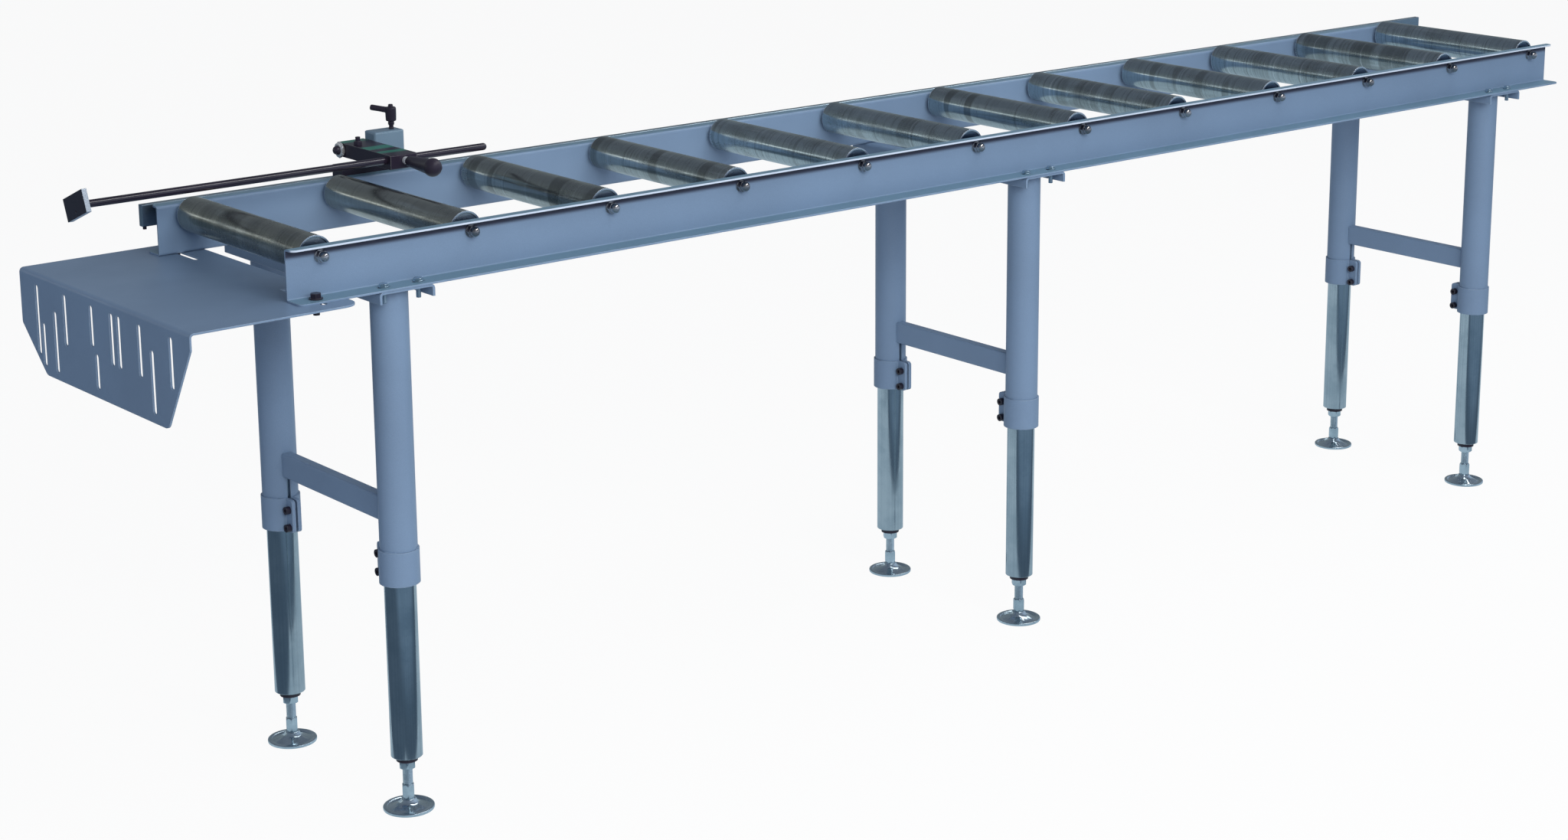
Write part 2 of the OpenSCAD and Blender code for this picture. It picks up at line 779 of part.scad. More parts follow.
module foot(frame_number, side) {
    color(zinc) at_leg(frame_number, side, 0) {
        foot_pad();
        foot_stem();
    }
}

// Guide bar: a flat bar on threaded bosses behind the far rail, with a pin near each end
module guide_bar() {
    half = guide_height / 2;
    color(paint) difference() {
        translate([guide_left, guide_y, guide_axis]) along_x(guide_length) polygon([
            [0, guide_edge - half], [guide_edge, -half], [guide_thickness - guide_edge, -half],
            [guide_thickness, guide_edge - half], [guide_thickness, half - guide_edge],
            [guide_thickness - guide_edge, half], [guide_edge, half], [0, half - guide_edge]
        ]);
        for (index = [0:boss_count - 1]) translate([boss_x(index), guide_y + guide_thickness, guide_axis])
            rotate([90, 0, 0]) {
                translate([0, 0, -overrun])
                    cylinder(d = guide_screw_d + bolt_clearance, h = guide_thickness + 2 * overrun);
                translate([0, 0, -overrun]) cylinder(d = guide_screw_head_d, h = overrun);
                cylinder(d1 = guide_screw_head_d, d2 = guide_screw_d, h = guide_screw_head);
            }
        for (x = [guide_left + end_pin_inset, guide_left + guide_length - end_pin_inset])
            translate([x, guide_y + guide_thickness / 2, rail_top - guide_height - overrun])
                cylinder(d = end_pin_d + 2 * snug_fit, h = guide_height + 2 * overrun);
    }
}
module guide_screw() {
    difference() {
        union() {
            cylinder(d1 = guide_screw_head_d - 2 * snug_fit, d2 = guide_screw_d - 2 * snug_fit,
                h = guide_screw_head);
            cylinder(d = guide_screw_d - 2 * snug_fit, h = guide_screw_length);
        }
        translate([0, 0, -overrun]) hexagon(guide_screw_socket, guide_screw_head + overrun);
    }
}
module guide_bar_fixings() {
    color(zinc) for (index = [0:boss_count - 1]) translate([boss_x(index), guide_y, guide_axis]) {
        rotate([90, 0, 0]) difference() {
            cylinder(d = boss_d, h = guide_space);
            translate([0, 0, -overrun])
                cylinder(d = guide_screw_d, h = guide_screw_length - guide_thickness + 2 * overrun);
        }
        translate([0, guide_thickness, 0]) rotate([90, 0, 0]) guide_screw();
    }
    color(black) for (x = [guide_left + end_pin_inset, guide_left + guide_length - end_pin_inset])
        translate([x, guide_y + guide_thickness / 2, rail_top - guide_height - end_pin_tail])
            cylinder(d = end_pin_d, h = guide_height + end_pin_tail);
}

// Length stop: a shoe that wraps round the guide bar and carries the clamp block and the pivot
module stop_shoe() {
    bar_back = guide_y + guide_thickness + slide_gap;
    bar_foot = rail_top - guide_height - slide_gap;
    color(black) difference() {
        translate([shoe_left, 0, 0]) along_x(shoe_length) polygon(rounded([
            [shoe_front, shoe_foot - toe_drop, 0], [toe_back, shoe_foot - toe_drop, 0],
            [toe_back, shoe_foot, 0], [bar_back, shoe_foot, 0], [bar_back, bar_foot, 0],
            [bar_back - lip_reach, bar_foot, 0], [bar_back - lip_reach, bar_foot - lip_thickness, 0],
            [shoe_back, bar_foot - lip_thickness, shoe_edge], [shoe_back, shoe_z, shoe_edge],
            [shoe_front, shoe_z, shoe_edge]
        ]));
        translate([lever_x, lever_y, shoe_foot - overrun])
            cylinder(d = lever_stud_d + 2 * running_fit, h = shoe_top + 2 * overrun);
    }
}
module clamp_block() {
    depth = block_back - block_front;
    color(paint) difference() {
        translate([block_left, block_front, shoe_z]) intersection() {
            linear_extrude(block_height) polygon(rounded([
                [0, 0, block_edge], [block_length, 0, block_edge],
                [block_length, depth, block_edge], [0, depth, block_edge]
            ]));
            translate([0, depth / 2, 0]) along_y(depth) polygon(rounded([
                [0, 0, 0], [block_length, 0, 0],
                [block_length, block_height, block_edge], [0, block_height, block_edge]
            ]));
            along_x(block_length) polygon(rounded([
                [0, 0, 0], [depth, 0, 0], [depth, block_height, block_edge], [0, block_height, block_edge]
            ]));
        }
        translate([lever_x, lever_y, shoe_z - overrun])
            cylinder(d = lever_stud_d + 2 * running_fit, h = block_height + 2 * overrun);
        pin_x(block_left - overrun, pivot_y, pivot_z, pivot_d + 2 * snug_fit, pivot_grip + overrun);
    }
}
module pivot_pin() {
    cap = pivot_cap_d / 2;
    nut_right = arm_left - slide_gap;
    nut_left = nut_right - pivot_nut_height;
    color(bright) {
        pin_x(nut_left, pivot_y, pivot_z, pivot_d, block_left + pivot_grip - nut_left);
        translate([nut_left, pivot_y, pivot_z]) rotate([0, 90, 0])
            nut_blank(pivot_nut_flats, pivot_nut_height);
    }
    color(black) intersection() {
        translate([nut_left - pivot_cap_height + cap, pivot_y, pivot_z]) sphere(cap);
        pin_x(nut_left - pivot_cap_height, pivot_y, pivot_z, pivot_cap_d, cap);
    }
    color(black)
        pin_x(nut_left - pivot_cap_height + cap, pivot_y, pivot_z, pivot_cap_d, pivot_cap_height - cap);
}
module clamp_lever() {
    tip = [lever_reach * cos(lever_direction), lever_reach * sin(lever_direction), lever_rise];
    arm_level = block_top + slide_gap + lever_neck + lever_hub - lever_root_d;
    color(black_plastic) {
        translate([lever_x, lever_y, shoe_foot])
            cylinder(d = lever_stud_d, h = block_top - shoe_foot + 2 * slide_gap);
        translate([lever_x, lever_y, block_top + slide_gap]) {
            cylinder(d = lever_base_d, h = lever_base);
            cylinder(d = lever_waist_d, h = lever_neck);
            translate([0, 0, lever_neck - lever_collar]) cylinder(d = lever_collar_d, h = lever_collar);
            translate([0, 0, lever_neck]) cylinder(d = lever_hub_d, h = lever_hub);
            translate([0, 0, lever_neck + lever_hub]) cylinder(d = lever_cap_d, h = lever_cap);
        }
        translate([lever_x, lever_y, arm_level]) hull() {
            cylinder(d = lever_root_d, h = lever_root_d, $fn = 32);
            translate(tip) sphere(d = lever_tip_d, $fn = 32);
        }
    }
}

// Length stop: the arm that flips up, its screw, the rod with its plate, and the handle
module stop_arm() {
    color(black) difference() {
        translate([arm_left, 0, 0]) along_x(arm_width) polygon(rounded([
            [arm_front, arm_foot, arm_edge], [arm_back, arm_foot, arm_height / 2 - running_fit],
            [arm_back, arm_foot + arm_height, 0], [arm_front, arm_foot + arm_height, arm_edge]
        ]));
        pin_x(arm_left - overrun, pivot_y, pivot_z, pivot_d + 2 * running_fit, arm_width + 2 * overrun);
        pin_x(arm_left - overrun, rod_y, rod_z, rod_d + 2 * running_fit, arm_width + 2 * overrun);
        pin_y(handle_x, arm_front - overrun, rod_z,
            handle_stud_d + 2 * running_fit, rod_y - arm_front + overrun);
        translate([arm_screw_x, arm_screw_y, arm_foot + arm_height - arm_screw_depth])
            cylinder(d = arm_screw_d + 2 * snug_fit, h = arm_screw_depth + overrun);
    }
}
module arm_screw() {
    color(black) translate([arm_screw_x, arm_screw_y, arm_foot + arm_height]) {
        difference() {
            translate([0, 0, -arm_screw_depth])
                cylinder(d = arm_screw_d, h = arm_screw_depth + arm_screw_rise);
            translate([0, 0, arm_screw_rise - arm_screw_socket])
                hexagon(arm_screw_socket, arm_screw_socket + overrun);
        }
        difference() {
            nut_blank(arm_nut_flats, arm_nut_height);
            translate([0, 0, -overrun])
                cylinder(d = arm_screw_d + 2 * snug_fit, h = arm_nut_height + 2 * overrun);
        }
    }
}
module stop_rod() {
    color(black) {
        pin_x(rod_left, rod_y, rod_z, rod_d, rod_length - rod_d / 2);
        pin_x(rod_left - rod_spigot, rod_y, rod_z, rod_spigot_d, rod_spigot + overrun);
        translate([rod_left + rod_length - rod_d / 2, rod_y, rod_z]) sphere(d = rod_d);
    }
}
module stop_plate() {
    back = rod_left - slide_gap;
    w = stop_plate_width / 2;
    h = stop_plate_height / 2;
    place = [back - stop_plate_thickness, rod_y, rod_z];
    color(black) translate(place) rotate([-stop_tilt, 0, 0]) difference() {
        along_x(stop_plate_thickness) polygon(rounded([
            [-w, -h, stop_plate_edge], [w, -h, stop_plate_edge],
            [w, h, stop_plate_edge], [-w, h, stop_plate_edge]
        ]));
        pin_x(stop_plate_thickness - rod_spigot - slide_gap, 0, 0, rod_spigot_d + 2 * running_fit,
            rod_spigot + slide_gap + overrun);
        pin_x(-overrun, 0, -dimple_offset, dimple_d, dimple_depth + overrun);
    }
}
module stop_handle() {
    stud_tip = rod_y - rod_d / 2 - slide_gap;
    collar_front = arm_front - slide_gap - handle_collar;
    ball_y = arm_front - handle_reach;
    color(zinc) {
        pin_y(handle_x, collar_front, rod_z, handle_stud_d, stud_tip - collar_front);
        pin_y(handle_x, collar_front, rod_z, handle_collar_d, handle_collar);
    }
    color(black_plastic) translate([handle_x, collar_front, rod_z]) rotate([90, 0, 0]) {
        cylinder(d1 = handle_grip_d, d2 = handle_neck_d, h = collar_front - ball_y);
        translate([0, 0, collar_front - ball_y]) sphere(d = handle_ball_d);
    }
}

near_rail();
far_rail();
end_plate();
end_plate_bolts();
top_channel(1);  // top_channel_1
top_channel(2);  // top_channel_2
top_channel(3);  // top_channel_3
leg_tube(1, near);  // leg_tube_1_near
leg_tube(1, far);  // leg_tube_1_far
leg_tube(2, near);  // leg_tube_2_near
leg_tube(2, far);  // leg_tube_2_far
leg_tube(3, near);  // leg_tube_3_near
leg_tube(3, far);  // leg_tube_3_far
crossbar(1);  // crossbar_1
crossbar(2);  // crossbar_2
crossbar(3);  // crossbar_3
leg_clamps(1);  // leg_clamps_1
leg_clamps(2);  // leg_clamps_2
leg_clamps(3);  // leg_clamps_3
clamp_screws();
leg_bolts();
roller_axles();
axle_nuts();
roller_bearings();
guide_bar();
guide_bar_fixings();
roller(1);  // roller_01
roller(2);  // roller_02
roller(3);  // roller_03
roller(4);  // roller_04
roller(5);  // roller_05
roller(6);  // roller_06
roller(7);  // roller_07
roller(8);  // roller_08
roller(9);  // roller_09
roller(10);  // roller_10
roller(11);  // roller_11
roller(12);  // roller_12
inner_leg(1, near);  // inner_leg_1_near
inner_leg(1, far);  // inner_leg_1_far
inner_leg(2, near);  // inner_leg_2_near
inner_leg(2, far);  // inner_leg_2_far
inner_leg(3, near);  // inner_leg_3_near
inner_leg(3, far);  // inner_leg_3_far
foot(1, near);  // foot_1_near
foot(1, far);  // foot_1_far
foot(2, near);  // foot_2_near
foot(2, far);  // foot_2_far
foot(3, near);  // foot_3_near
foot(3, far);  // foot_3_far
stop_shoe();
clamp_block();
pivot_pin();
clamp_lever();
stop_arm();
arm_screw();
stop_rod();
stop_plate();
stop_handle();
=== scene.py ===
"""Outfeed roller table: the finishes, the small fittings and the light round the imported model."""
import math

import bmesh
import bpy
from mathutils import Matrix, Vector, noise


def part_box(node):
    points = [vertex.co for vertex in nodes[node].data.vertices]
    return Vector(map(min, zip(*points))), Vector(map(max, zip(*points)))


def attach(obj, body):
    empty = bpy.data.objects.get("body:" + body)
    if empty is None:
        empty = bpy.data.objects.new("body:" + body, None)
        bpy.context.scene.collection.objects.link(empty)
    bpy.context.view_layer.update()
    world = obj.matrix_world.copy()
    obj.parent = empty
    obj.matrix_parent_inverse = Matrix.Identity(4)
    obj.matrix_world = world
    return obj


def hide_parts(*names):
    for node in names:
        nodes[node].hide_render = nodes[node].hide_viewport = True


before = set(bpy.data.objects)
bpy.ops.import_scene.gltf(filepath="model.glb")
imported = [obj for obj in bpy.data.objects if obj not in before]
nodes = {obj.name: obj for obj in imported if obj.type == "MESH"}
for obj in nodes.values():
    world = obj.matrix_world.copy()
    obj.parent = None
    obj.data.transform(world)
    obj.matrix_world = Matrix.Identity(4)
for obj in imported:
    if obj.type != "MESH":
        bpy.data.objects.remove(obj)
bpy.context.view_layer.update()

MM = 0.001

LEGS = (1, 2, 3)
SIDES = ("near", "far")
ROLLERS = [f"roller_{number:02d}" for number in range(1, 13)]


# Node trees
def add(tree, kind, inputs=None, **settings):
    """A node of one kind, with its settings made and its inputs set or joined."""
    node = tree.nodes.new(kind)
    for name, value in settings.items():
        setattr(node, name, value)
    for name, value in (inputs or {}).items():
        fill(tree, node.inputs[name], value)
    return node


def fill(tree, socket, value):
    """Joins an output to a socket, or sets the socket's own value."""
    if isinstance(value, bpy.types.NodeSocket):
        tree.links.new(value, socket)
    else:
        socket.default_value = value


def maths(tree, operation, *values, clamp=False):
    """The result of one operation on its values."""
    node = add(tree, "ShaderNodeMath", operation=operation, use_clamp=clamp)
    for socket, value in zip(node.inputs, values):
        fill(tree, socket, value)
    return node.outputs[0]


def blend(tree, factor, low, high, mode="MIX"):
    """A colour between two colours."""
    node = add(tree, "ShaderNodeMix", data_type="RGBA", blend_type=mode)
    for index, value in ((0, factor), (6, low), (7, high)):
        fill(tree, node.inputs[index], value)
    return node.outputs[2]


def remap(tree, value, low, high, to_low=0.0, to_high=1.0):
    """A value moved smoothly from one range to another, and held at its ends."""
    node = add(tree, "ShaderNodeMapRange", interpolation_type="SMOOTHSTEP")
    for name, number in (("From Min", low), ("From Max", high), ("To Min", to_low), ("To Max", to_high)):
        node.inputs[name].default_value = number
    fill(tree, node.inputs["Value"], value)
    return node.outputs[0]


def cloud(tree, vector, scale, detail=2.0, roughness=0.5, seed=None):
    """Fractal noise, about 0.5 in the middle."""
    dimensions = "3D" if seed is None else "4D"
    node = add(tree, "ShaderNodeTexNoise", {"Vector": vector}, noise_dimensions=dimensions)
    for name, value in (("Scale", scale), ("Detail", detail), ("Roughness", roughness)):
        node.inputs[name].default_value = value
    if seed is not None:
        fill(tree, node.inputs["W"], seed)
    return node.outputs["Fac"]


def stretched(tree, vector, scale):
    """Coordinates scaled differently along X, Y and Z, so that a pattern becomes streaks or rings."""
    return add(tree, "ShaderNodeMapping", {"Vector": vector, "Scale": scale}).outputs[0]


def parts_of(tree, vector):
    """A vector's X, Y and Z, by those names."""
    return add(tree, "ShaderNodeSeparateXYZ", {"Vector": vector}).outputs


def facing(tree):
    """The surface's own direction, in the object's coordinates."""
    return parts_of(tree, add(tree, "ShaderNodeTexCoord").outputs["Normal"])


def colour(red, green, blue):
    """An opaque colour."""
    return (red, green, blue, 1.0)


def grey(value):
    return colour(value, value, value)


def shaded(tone, factor):
    """A colour made darker, or lighter with a factor over 1."""
    return colour(*(factor * part for part in tone[:3]))


# Effects that several finishes share
KINDS = {"value": "NodeSocketFloat", "vector": "NodeSocketVector", "colour": "NodeSocketColor"}


def effect(name, takes, gives):
    """An empty node group with named sockets: its tree, its inputs and its output node."""
    tree = bpy.data.node_groups.new(name, "ShaderNodeTree")
    for label, kind in takes:
        tree.interface.new_socket(name=label, in_out="INPUT", socket_type=KINDS[kind])
    for label, kind in gives:
        tree.interface.new_socket(name=label, in_out="OUTPUT", socket_type=KINDS[kind])
    return tree, tree.nodes.new("NodeGroupInput").outputs, tree.nodes.new("NodeGroupOutput")


def place(tree, group, **inputs):
    """One use of an effect in a finish; a name's underscores stand for spaces."""
    node = tree.nodes.new("ShaderNodeGroup")
    node.node_tree = group
    for name, value in inputs.items():
        fill(tree, node.inputs[name.replace("_", " ")], value)
    return node.outputs


def make_edge_effect():
    """Softened edges: a normal that rounds them, and a mask that is 1 on them."""
    gives = [("Edge", "value"), ("Normal", "vector")]
    tree, given, out = effect("softened_edges", [("Radius", "value")], gives)
    round_normal = add(tree, "ShaderNodeBevel", {"Radius": given["Radius"]}, samples=6).outputs[0]
    true_normal = add(tree, "ShaderNodeNewGeometry").outputs["Normal"]
    pair = {0: round_normal, 1: true_normal}
    agreement = add(tree, "ShaderNodeVectorMath", pair, operation="DOT_PRODUCT").outputs["Value"]
    fill(tree, out.inputs["Edge"], remap(tree, agreement, 0.98, 0.75))
    fill(tree, out.inputs["Normal"], round_normal)
    return tree


def make_paint_effect():
    """Sprayed paint: the orange-peel height, fine flecks, and slow clouds of tone."""
    gives = [("Height", "value"), ("Fleck", "value"), ("Cloud", "value")]
    tree, given, out = effect("sprayed_skin", [("Vector", "vector")], gives)
    fleck = cloud(tree, given["Vector"], 1400.0, detail=1.0)
    fill(tree, out.inputs["Height"], cloud(tree, given["Vector"], 420.0, detail=2.0))
    fill(tree, out.inputs["Fleck"], remap(tree, fleck, 0.3, 0.7))
    fill(tree, out.inputs["Cloud"], cloud(tree, given["Vector"], 5.0, detail=4.0))
    return tree


def make_metal_effect():
    """Drawn metal: clouds of tone, fine lines along the stretched coordinates, and tiny pits."""
    takes = [("Vector", "vector"), ("Lines", "vector")]
    gives = [("Cloud", "value"), ("Line", "value"), ("Pit", "value")]
    tree, given, out = effect("drawn_metal", takes, gives)
    fill(tree, out.inputs["Cloud"], cloud(tree, given["Vector"], 16.0, detail=5.0, roughness=0.6))
    fill(tree, out.inputs["Line"], cloud(tree, given["Lines"], 1.0, detail=3.0, roughness=0.6))
    pit = cloud(tree, given["Vector"], 700.0, detail=2.0)
    fill(tree, out.inputs["Pit"], remap(tree, pit, 0.66, 0.74))
    return tree


EDGES = make_edge_effect()
SPRAYED = make_paint_effect()
DRAWN = make_metal_effect()


# Finishes
EVEN_GRAIN = (60.0, 60.0, 60.0)
BLACK_TONE, WORN_BLACK, ARM_WORN = colour(0.013, 0.009, 0.018), grey(0.22), grey(0.42)
# The green on this line is a painted reflection on the arm's top face.
TOP_REFLECTION_GREEN, MACHINED = colour(0.016, 0.150, 0.105), colour(0.62, 0.68, 0.74)
# On the rails, the pale lip colour is a painted highlight, the teal a painted sheen on upward faces, and the
# darkest colour painted shade under the lip.
LIP_HIGHLIGHT, TOP_SHEEN_TEAL, UNDER_LIP_SHADE = colour(0.52, 0.60, 0.72), colour(0.09, 0.24, 0.26), colour(0.020, 0.016, 0.034)
ZINC_TONES = colour(0.66, 0.77, 0.83), colour(0.50, 0.61, 0.67)
# The lighter blue on this line is a painted highlight for the paint's edges.
BLUE, EDGE_HIGHLIGHT_BLUE = colour(0.160, 0.236, 0.352), colour(0.42, 0.52, 0.62)


def finish(name):
    """A new material: its tree, its shader and the object's coordinates."""
    material = bpy.data.materials.new(name)
    material.use_nodes = True
    tree = material.node_tree
    shader = tree.nodes["Principled BSDF"]
    return material, tree, shader, object_place(tree)


def object_place(tree):
    """The surface's own place, in the object's coordinates."""
    return add(tree, "ShaderNodeTexCoord").outputs["Object"]


def base_of(material):
    """A material's tree, its shader, and what feeds the shader's base colour."""
    tree = material.node_tree
    shader = tree.nodes["Principled BSDF"]
    return tree, shader, shader.inputs["Base Color"].links[0].from_socket


def raise_surface(tree, shader, height, distance, normal=None):
    """Gives the shader a bumped normal."""
    bump = add(tree, "ShaderNodeBump", {"Height": height})
    bump.inputs["Distance"].default_value = distance
    if normal is not None:
        fill(tree, bump.inputs["Normal"], normal)
    tree.links.new(bump.outputs[0], shader.inputs["Normal"])


def satin_paint(name, tone, edge_highlight_tone, roughness):
    """Sprayed satin paint: orange peel, flecks, slow clouds, and a painted highlight on the edges, in
    patches.
    """
    material, tree, shader, at = finish(name)
    edges = place(tree, EDGES, Radius=1.5 * MM)
    skin = place(tree, SPRAYED, Vector=at)
    clouded = blend(tree, remap(tree, skin["Cloud"], 0.3, 0.7), tone, shaded(tone, 0.9))
    flecked = blend(tree, maths(tree, "MULTIPLY", skin["Fleck"], 0.1), clouded, shaded(tone, 2.2))
    # Painted highlight: the edges lightened in patches towards the highlight colour.
    patchy = remap(tree, cloud(tree, at, 30.0), 0.3, 0.6, 0.3, 0.8)
    edge_sheen = maths(tree, "MULTIPLY", edges["Edge"], patchy)
    fill(tree, shader.inputs["Base Color"], blend(tree, edge_sheen, flecked, edge_highlight_tone))
    glossy = remap(tree, skin["Cloud"], 0.3, 0.7, roughness, roughness + 0.08)
    fill(tree, shader.inputs["Roughness"], glossy)
    raise_surface(tree, shader, skin["Height"], 0.05 * MM, edges["Normal"])
    return material


def plated(name, tone, dull_tone, roughness, lines, line_share=0.35, relief=0.012, metallic=1.0):
    """Plated or drawn metal: clouded tone, drawn lines and tiny pits."""
    material, tree, shader, at = finish(name)
    shader.inputs["Metallic"].default_value = metallic
    edges = place(tree, EDGES, Radius=0.8 * MM)
    grain = place(tree, DRAWN, Vector=at, Lines=stretched(tree, at, lines))
    clouded = blend(tree, remap(tree, grain["Cloud"], 0.35, 0.65), tone, dull_tone)
    drawn = remap(tree, grain["Line"], 0.35, 0.7, 0.0, line_share)
    lined = blend(tree, drawn, clouded, shaded(dull_tone, 0.8))
    pitted = blend(tree, maths(tree, "MULTIPLY", grain["Pit"], 0.35), lined, grey(0.1))
    fill(tree, shader.inputs["Base Color"], pitted)
    dulled = remap(tree, grain["Cloud"], 0.3, 0.7, roughness, roughness + 0.1)
    fill(tree, shader.inputs["Roughness"], dulled)
    raise_surface(tree, shader, grain["Line"], relief * MM, edges["Normal"])
    return material


def blackened(name, tone, roughness, wear=0.35, relief=0.03, worn_tone=WORN_BLACK, edge=0.9):
    """Black oxide on steel, or black plastic: slow clouds, a fine skin and worn edges."""
    material, tree, shader, at = finish(name)
    edges = place(tree, EDGES, Radius=edge * MM)
    skin = place(tree, SPRAYED, Vector=at)
    shade = blend(tree, remap(tree, skin["Cloud"], 0.35, 0.65, 0.0, 0.5), tone, shaded(tone, 1.9))
    worn = maths(tree, "MULTIPLY", edges["Edge"], wear)
    fill(tree, shader.inputs["Base Color"], blend(tree, worn, shade, worn_tone))
    fill(tree, shader.inputs["Roughness"], remap(tree, skin["Cloud"], 0.3, 0.7, roughness, roughness + 0.1))
    raise_surface(tree, shader, skin["Height"], relief * MM, edges["Normal"])
    return material


# Dark bands in the arm's painted top reflection: each a middle and a half width, as shares of the arm's
# length.
REFLECTED_BANDS = ((0.02, 0.03), (0.27, 0.06), (0.78, 0.16))


def arm_black():
    """The stop arm: black oxide, machined edges, and on its top a painted reflection: green patches cut by
    dark bands.
    """
    material = blackened("black_oxide_arm", BLACK_TONE, 0.28, wear=0.75, worn_tone=ARM_WORN, edge=1.3)
    tree, shader, base = base_of(material)
    at = object_place(tree)
    low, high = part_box("stop_arm")
    along = remap(tree, parts_of(tree, at)["Y"], low.y, high.y)
    clear = 1.0
    for middle, width in REFLECTED_BANDS:
        away = maths(tree, "ABSOLUTE", maths(tree, "SUBTRACT", along, middle))
        clear = maths(tree, "MULTIPLY", clear, remap(tree, away, width, width + 0.05))
    cloudy = remap(tree, cloud(tree, at, 25.0), 0.3, 0.55, 0.45, 1.0)
    top = remap(tree, facing(tree)["Z"], 0.9, 0.99)
    # Painted reflection: the top face turns green in patches, but not in the bands.
    top_reflection = maths(tree, "MULTIPLY", top, maths(tree, "MULTIPLY", clear, cloudy))
    fill(tree, shader.inputs["Base Color"], blend(tree, top_reflection, base, TOP_REFLECTION_GREEN))
    return material


PLATE_MIDDLE = 15 * MM


def plate_black():
    """The stop plate: black faces and bright machined sides, which lie away from its middle."""
    material = blackened("black_oxide_plate", colour(0.016, 0.012, 0.021), 0.3, wear=0.3)
    tree, shader, base = base_of(material)
    low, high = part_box("stop_plate")
    pair = {0: object_place(tree), 1: (low + high) / 2}
    gap = add(tree, "ShaderNodeVectorMath", pair, operation="DISTANCE").outputs["Value"]
    edge_on = remap(tree, maths(tree, "ABSOLUTE", facing(tree)["X"]), 0.55, 0.45)
    side = maths(tree, "MULTIPLY", edge_on, remap(tree, gap, PLATE_MIDDLE - 1 * MM, PLATE_MIDDLE + 1 * MM))
    fill(tree, shader.inputs["Base Color"], blend(tree, side, base, MACHINED))
    fill(tree, shader.inputs["Metallic"], maths(tree, "MULTIPLY", side, 0.85))
    return material


# Depths below the rail's top: the painted highlight band's foot, and where the painted shade under the lip
# fades out.
SHEET_LIP, LIP_SHADE_TOP, LIP_SHADE_FOOT = 3.1 * MM, 11 * MM, 19 * MM


def rail_paint():
    """The rails' paint: a painted highlight on the lips, a painted teal sheen on top, painted shade under
    the lip.
    """
    material = satin_paint("satin_rail_paint", BLUE, EDGE_HIGHLIGHT_BLUE, 0.34)
    tree, shader, base = base_of(material)
    at = parts_of(tree, object_place(tree))
    way = facing(tree)
    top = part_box("near_rail")[1].z
    lip_foot = top - SHEET_LIP
    outward = remap(tree, maths(tree, "MULTIPLY", maths(tree, "SIGN", at["Y"]), way["Y"]), 0.3, 0.6)
    upward = remap(tree, way["Z"], 0.9, 0.97)
    # Painted highlight: a thin bright band on outward faces at the lip's foot.
    lip = maths(tree, "MULTIPLY", outward, remap(tree, at["Z"], lip_foot - 0.3 * MM, lip_foot + 0.3 * MM))
    # Painted shade: outward faces darkened near the rail's top, where the flange shades the web; the
    # highlight band is left out.
    above = remap(tree, at["Z"], top - LIP_SHADE_FOOT, top - LIP_SHADE_TOP)
    corner = maths(tree, "MULTIPLY", outward, maths(tree, "SUBTRACT", above, lip, clamp=True))
    # Painted sheen: upward faces tinted teal.
    body = blend(tree, maths(tree, "MULTIPLY", upward, 0.35), base, TOP_SHEEN_TEAL)
    body = blend(tree, maths(tree, "MULTIPLY", corner, 0.92), body, UNDER_LIP_SHADE)
    fill(tree, shader.inputs["Base Color"], blend(tree, lip, body, LIP_HIGHLIGHT))
    return material


END_PIN_REACH = 10 * MM


def fixings_zinc():
    """Zinc bosses and screws; the two pins at the guide bar's ends are black."""
    material = plated("fixings_zinc", *ZINC_TONES, 0.16, EVEN_GRAIN)
    tree, shader, base = base_of(material)
    low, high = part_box("guide_bar_fixings")
    middle, half = (low.x + high.x) / 2, (high.x - low.x) / 2
    x = parts_of(tree, object_place(tree))["X"]
    away = maths(tree, "ABSOLUTE", maths(tree, "SUBTRACT", x, middle))
    pin = maths(tree, "GREATER_THAN", away, half - END_PIN_REACH)
    fill(tree, shader.inputs["Base Color"], blend(tree, pin, base, BLACK_TONE))
    fill(tree, shader.inputs["Metallic"], maths(tree, "SUBTRACT", 1.0, pin))
    return material


ROLLER_RIM, HOUSING_DEPTH, RIM_SKIN = 4.2 * MM, 6 * MM, 0.8 * MM
ROLLER_WARM, ROLLER_COOL = colour(0.37, 0.375, 0.33), colour(0.46, 0.55, 0.58)
DISC_LIGHT, DISC_DARK = colour(0.62, 0.64, 0.64), colour(0.22, 0.27, 0.34)
RIM_TONE = colour(0.93, 0.95, 0.97)


def roller_grid(tree, at):
    """Where a point lies: how far along the table in pitches, and its place in its own roller."""
    first_low, first_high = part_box(ROLLERS[0])
    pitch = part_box(ROLLERS[1])[0].x - first_low.x
    axle = (first_low + first_high) / 2
    x, y, z = (parts_of(tree, at)[axis] for axis in "XYZ")
    along = maths(tree, "DIVIDE", maths(tree, "SUBTRACT", x, axle.x), pitch)
    number = maths(tree, "ROUND", along)
    local_x = maths(tree, "MULTIPLY", maths(tree, "SUBTRACT", along, number), pitch)
    local_z = maths(tree, "SUBTRACT", z, axle.z)
    return along, number, local_x, y, local_z


